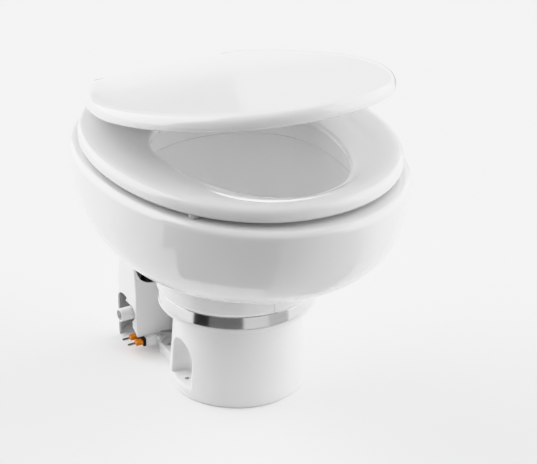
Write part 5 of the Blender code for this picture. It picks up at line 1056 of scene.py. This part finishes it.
def make_motor():
    """The motor with a step at its foot and two grooves, and its end cap with a dished top and vents."""
    wall, socket = MOTOR_RADIUS, MOTOR_BOTTOM + SHAFT_SOCKET_DEPTH
    foot_wall = wall - MOTOR_FOOT_STEP
    corners = [
        (SHAFT_HOLE, MOTOR_BOTTOM), (foot_wall, MOTOR_BOTTOM),
        (foot_wall, MOTOR_BOTTOM + MOTOR_FOOT_LOW), (wall, MOTOR_BOTTOM + MOTOR_FOOT_HIGH)]
    for share in (0.16, 0.88):
        level, inner = MOTOR_BOTTOM + MOTOR_LENGTH * share, wall - GROOVE
        corners += [(wall, level), (inner, level + 0.0005), (inner, level + 0.0015), (wall, level + 0.0020)]
    corners += [(wall, MOTOR_TOP), (0, MOTOR_TOP), (0, socket), (SHAFT_HOLE, socket)]
    radii = [0, 0.0004, 0.0004, 0.0006] + [0.0003] * 8 + [0.0010, 0, 0, 0]
    piece("motor_form", "motor_body", turned(rounded(corners, radii, 3), 128, PUMP_X, PUMP_Y))
    foot, top, dish = MOTOR_TOP + GAP, MOTOR_CAP_TOP, MOTOR_CAP_TOP - CAP_DISH
    corners = [
        (0, foot), (wall, foot), (wall, top), (wall - CAP_RIM, top),
        (wall - CAP_DISH_START, dish), (CAP_DISH_START, dish), (CAP_RIM, top), (0, top)]
    radii = [0, 0.0008, 0.0034, 0.0006, 0.0005, 0.0005, 0.0006, 0]
    vents = []
    for number in range(VENT_COUNT):
        vent = slab((VENT_START, -VENT_WIDTH / 2, -VENT_DEPTH), (VENT_END, VENT_WIDTH / 2, OVERRUN), 0.0007)
        vent.transform(Matrix.Translation((PUMP_X, PUMP_Y, top)) @ Matrix.Rotation(tau * number / VENT_COUNT, 4, "Z"))
        vents.append(cut(vent))
    piece(
        "motor_cap_form", "motor_end_cap", turned(rounded(corners, radii, 5), 128, PUMP_X, PUMP_Y),
        *vents)


def on_pin(side, near, far, radius, edge=0.0006):
    return bar(*along_x(HINGE_Y, HINGE_Z, side * near, side * far), radius, edge)


def hinge_slab(side, span, low, high, edge=LEAF_EDGE):
    """A slab over a span along the pin, between two corners of y and z."""
    left, right = sorted(side * reach for reach in span)
    return slab((left, *low), (right, *high), edge)


def barrel(side, near, far):
    """The steps that add a barrel round the pin and bore it."""
    bore = on_pin(side, near - OVERRUN, far + OVERRUN, PIN_RADIUS + RUNNING_GAP)
    return join(on_pin(side, near, far, BARREL_RADIUS)), cut(bore)


def make_hinges():
    """Posts, leaves and pins of both hinges, with round barrels and soft edges."""
    near_post, far_post = POST_SPAN
    foot, top, rear, back = RIM_TOP + GAP, SEAT_BOTTOM - GAP, HINGE_Y - BARREL_RADIUS / 4, LID_BACK + GAP
    narrow = near_post - LEAF_NARROWING
    lid_low, lid_high = LID_BOTTOM + LEAF_EDGE_STEP, LID_BOTTOM + LID_THICKNESS - LEAF_EDGE_STEP
    arm_top = HINGE_Z + LID_ARM_SHARE * BARREL_RADIUS
    near, far = SEAT_BARREL[0] - GAP, LID_BARREL[1] + GAP
    for side, word in ((-1, "right"), (1, "left")):
        axis = (side * HINGE_X, HINGE_Y)
        column = hinge_slab(
            side, POST_SPAN, (HINGE_Y - POST_DEPTH / 2, foot + 0.0022), (HINGE_Y + POST_DEPTH / 2, HINGE_Z), 0.0008)
        piece(
            f"post_{word}_form", f"hinge_post_{word}",
            bar(*along_z(*axis, foot, foot + POST_FOOT_THICKNESS), POST_FOOT_RADIUS, SOFT_EDGE),
            join(column), *barrel(side, *POST_SPAN),
            cut(tube(*along_z(*axis, foot - OVERRUN, foot + STUD_DEPTH + GAP), STUD_RADIUS + GAP)))
        plate = hinge_slab(
            side, (narrow - LEAF_WIDTH, narrow), (SEAT_BACK - LEAF_LENGTH, top - LEAF_THICKNESS), (rear, top))
        riser = hinge_slab(
            side, (SEAT_BARREL[0], narrow), (SEAT_BACK + GAP, top - LEAF_THICKNESS), (rear, HINGE_Z))
        piece(
            f"seat_leaf_{word}_form", f"seat_leaf_{word}", plate,
            join(riser), *barrel(side, *SEAT_BARREL), body="seat")
        plate = hinge_slab(
            side, (far_post - LEAF_NARROWING, LID_BARREL[1] + LEAF_NARROWING), (back, lid_low),
            (back + LEAF_THICKNESS, lid_high))
        arm = hinge_slab(side, LID_BARREL, (back + LEAF_THICKNESS / 2, lid_low), (HINGE_Y, arm_top))
        piece(
            f"lid_leaf_{word}_form", f"lid_leaf_{word}", plate,
            join(arm), *barrel(side, *LID_BARREL), body="lid", after=lid_turned)
        piece(
            f"pin_{word}_form", f"hinge_pin_{word}",
            on_pin(side, near - PIN_HEAD / 2, far + PIN_HEAD / 2, PIN_RADIUS),
            join(on_pin(side, near - PIN_HEAD, near, PIN_HEAD_RADIUS, 0.0005)),
            join(on_pin(side, far, far + PIN_HEAD, PIN_HEAD_RADIUS, 0.0005)))


def make_bumpers():
    for name in frame["nodes"]:
        if "_bumper_" not in name:
            continue
        body = "seat" if name.startswith("seat") else "lid"
        low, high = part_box(name)
        radius = (high.x - low.x) / 2
        if body == "seat":
            x, y, _ = (low + high) / 2
            mesh = drum(x, y, low.z, high.z, radius, (0.0016, 0.0005), 48)
        else:
            x, y = egg_point(LID_EGG, -LID_BUMPER_ANGLE, LID_BUMPER_INSET)
            x = copysign(x, low.x)
            mesh = lid_turned(drum(x, y, SEAT_TOP + GAP, LID_BOTTOM - GAP, radius, (0.0007, 0.0002), 48))
        piece(name + "_form", name, mesh, body=body, look="rubber_pale")


def make_spud():
    """The rinse inlet: a bar through the bowl's back, with a flange, and a barb that points down."""
    face = BOWL_BACK + SPUD_BOSS + GAP
    elbow = face + SPUD_REACH
    barb_y = elbow - BARB_RADIUS
    root, end = SPUD_HEIGHT + SPUD_RADIUS / 2, SPUD_HEIGHT - SPUD_DROP
    profile = [(0, root), (BARB_RADIUS, root)]
    for tooth in (2, 1):
        top = end + tooth * BARB_PITCH
        profile += [
            (BARB_RADIUS, top), (BARB_RADIUS + BARB_STEP, top - 0.00025), (BARB_RADIUS + 0.0002, top - 0.0060)]
    profile += [(BARB_RADIUS - 0.0005, end), (0, end)]
    barb = turned(rounded(profile, [0, 0.001, 0] + [0.0002, 0] * 2 + [0, 0.0006, 0]), 64, 0, barb_y)
    piece(
        "spud_form", "rinse_inlet",
        bar(*along_y(0, SPUD_HEIGHT, BOWL_BACK - 1.5 * CERAMIC_WALL, elbow), SPUD_RADIUS, 0.0030),
        join(bar(*along_y(0, SPUD_HEIGHT, face, face + SPUD_FLANGE), SPUD_FLANGE_RADIUS, SOFT_EDGE)), join(barb),
        cut(tube(*along_y(0, SPUD_HEIGHT, BOWL_BACK - 2 * CERAMIC_WALL, barb_y), BARB_BORE_RADIUS)),
        cut(tube(*along_z(0, barb_y, SPUD_HEIGHT, end - OVERRUN), BARB_BORE_RADIUS)))


def repaint():
    """Gives each carried-over node the finish of its slot."""
    for name, node in frame["nodes"].items():
        if not node.hide_render:
            node.data.materials[0] = FINISHES[SLOTS[name]]


# Camera

AZIMUTH, ELEVATION, DISTANCE = radians(-30.7816), radians(26.4054), 2.3
AIM_HEIGHT, AIM_RIGHT = 0.2051, 0.0399
SENSOR_WIDTH, LENS = 36.0, 122.44
RIGHT = Vector((cos(AZIMUTH), sin(AZIMUTH), 0.0))
BACK_FLAT = Vector((sin(AZIMUTH), -cos(AZIMUTH), 0.0))
BACK = Vector((
    sin(AZIMUTH) * cos(ELEVATION), -cos(AZIMUTH) * cos(ELEVATION), sin(ELEVATION)))


def make_camera():
    data = bpy.data.cameras.new("camera")
    camera = placed("camera", data)
    data.sensor_width = SENSOR_WIDTH
    data.lens = LENS
    data.clip_start, data.clip_end = 0.05, 100.0
    aim = Vector((0, 0, AIM_HEIGHT)) + RIGHT * AIM_RIGHT
    turn = Matrix((RIGHT, BACK.cross(RIGHT), BACK)).transposed().to_4x4()
    camera.matrix_world = Matrix.Translation(aim + BACK * DISTANCE) @ turn
    bpy.context.scene.camera = camera


# Stage and light. Directions are in degrees from the camera's side, positive to the picture's right

FLOOR_SHADE, FLOOR_GLOW, WORLD_GLOW = 0.96, 0.02, 0.38
CARD_RADIUS = 24.0
CARDS = (  # name, start and end direction, low and high elevation, glow
    ("card_dark", -74, -37, 0, 22, 0.03),
    ("card_front", -37, 9, 0, 22, 0.08),
    ("card_right", 9, 50, 0, 22, 0.25),
    ("softbox_front", -62, 58, 24, 58, 0.54),
    ("softbox_left", -150, -76, 0, 58, 2.8),
    ("softbox_right", 58, 150, 0, 58, 2.1),
    ("softbox_rear", 150, 183.5, 0, 45, 0.70),
)
FLOOR_CARD_HEIGHT = 0.0012
FLOOR_CARDS = (  # name, start and end direction, near and far distance, glow: only shiny surfaces see them
    ("floor_black", -55, -34, 0.24, 0.48, 0.05),
    ("floor_dark", -64, -34, 0.48, 2.6, 0.05),
    ("floor_grey", -34, 8, 0.24, 2.6, 0.18),
    ("floor_pale", 8, 40, 0.16, 2.6, 0.68),
    ("floor_soft", 40, 67, 0.16, 2.6, 0.52),
    ("floor_rear", 150, 182, 0.16, 2.6, 0.30),
)
FLOOR_FLAG = ("floor_flag", -60, 34, 0.50, 1.9, 0.20)  # as above, but only diffuse rays see it
FLOOR_FLAG_HEIGHT = 0.0020
LIGHTS = (  # name, place, aim, size, power
    ("basin_fill", (0, -0.080, 0.3540), (0, -0.080, 0), (0.09, 0.12), 0.090),
    ("overhead", BACK_FLAT * 1.4 + Vector((0, 0, 3.0)) - RIGHT * 0.3, (0, 0, 0.2), (2.4, 1.6), 2.0),
)
EXPOSURE = 0.09


def glowing(name, shade, glow):
    paint = Paint(name)
    paint.colour(paint.noise(0.6, 3.0), grey(0.985 * shade), grey(shade))
    fill(paint.shader, {
        "Roughness": 0.9, "Specular IOR Level": 0.1, "Emission Color": (*grey(1.0), 1.0), "Emission Strength": glow})
    return paint.made


def one_sided(material):
    """Lets rays from behind pass through a stage material."""
    tree = material.node_tree
    behind = tree.nodes.new("ShaderNodeNewGeometry").outputs["Backfacing"]
    clear = tree.nodes.new("ShaderNodeBsdfTransparent")
    blend = tree.nodes.new("ShaderNodeMixShader")
    tree.links.new(behind, blend.inputs[0])
    tree.links.new(tree.nodes["Principled BSDF"].outputs[0], blend.inputs[1])
    tree.links.new(clear.outputs[0], blend.inputs[2])
    tree.links.new(blend.outputs[0], tree.nodes["Material Output"].inputs["Surface"])


def staged(name, mesh, material):
    mesh.materials.append(material)
    item = placed(name, mesh)
    return item


def sector(name, start, end, near, far, material, steps=24):
    """A strip between two directions, unseen by the camera: near and far give a distance and a height."""
    points, faces = [], []
    for step in range(steps + 1):
        angle = radians(start + (end - start) * step / steps)
        way = BACK_FLAT * cos(angle) + RIGHT * sin(angle)
        points += [tuple(way * out + Vector((0, 0, height))) for out, height in (near, far)]
    for a in range(0, 2 * steps, 2):
        faces.append((a, a + 1, a + 3, a + 2))
    mesh = bpy.data.meshes.new(name)
    mesh.from_pydata(points, [], faces)
    item = staged(name, mesh, material)
    item.visible_camera = False
    item.visible_shadow = False
    return item


def floor_strip(height, name, start, end, near, far, glow):
    return sector(name, start, end, (near, height), (far, height), glowing(name, 0.0, glow))


def area_light(name, place, aim, size, power):
    data = bpy.data.lights.new(name, "AREA")
    data.shape = "RECTANGLE"
    data.size, data.size_y = size
    data.energy = power
    light = placed(name, data)
    light.location = place
    light.rotation_mode = "QUATERNION"
    light.rotation_quaternion = (Vector(aim) - Vector(place)).to_track_quat("-Z", "Y")
    light.visible_camera = False


def make_stage():
    floor = bmesh.new()
    bmesh.ops.create_grid(floor, x_segments=8, y_segments=8, size=30.0)
    staged("floor", mesh_of(floor), glowing("floor_white", FLOOR_SHADE, FLOOR_GLOW))
    world = bpy.data.worlds.new("studio")
    world.use_nodes = True
    background = world.node_tree.nodes["Background"]
    background.inputs["Color"].default_value = (1.0, 1.0, 1.0, 1.0)
    background.inputs["Strength"].default_value = WORLD_GLOW
    bpy.context.scene.world = world
    for name, start, end, low, high, glow in CARDS:
        near, far = (
            (CARD_RADIUS * cos(radians(v)), CARD_RADIUS * sin(radians(v))) for v in (low, high))
        sector(name, start, end, near, far, glowing(name, 0.0, glow))
    for card in FLOOR_CARDS:
        floor_strip(FLOOR_CARD_HEIGHT, *card).visible_diffuse = False
    flag = floor_strip(FLOOR_FLAG_HEIGHT, *FLOOR_FLAG)
    flag.visible_glossy = False
    one_sided(flag.data.materials[0])
    for light in LIGHTS:
        area_light(*light)
    view = bpy.context.scene.view_settings
    view.view_transform = "Khronos PBR Neutral"
    view.exposure = EXPOSURE


make_bowl()
make_seat()
make_lid()
make_pedestal()
make_band()
make_clamp_bolt()
make_cover()
make_pump()
make_motor()
make_hinges()
make_bumpers()
make_spud()
repaint()
make_stage()
make_camera()
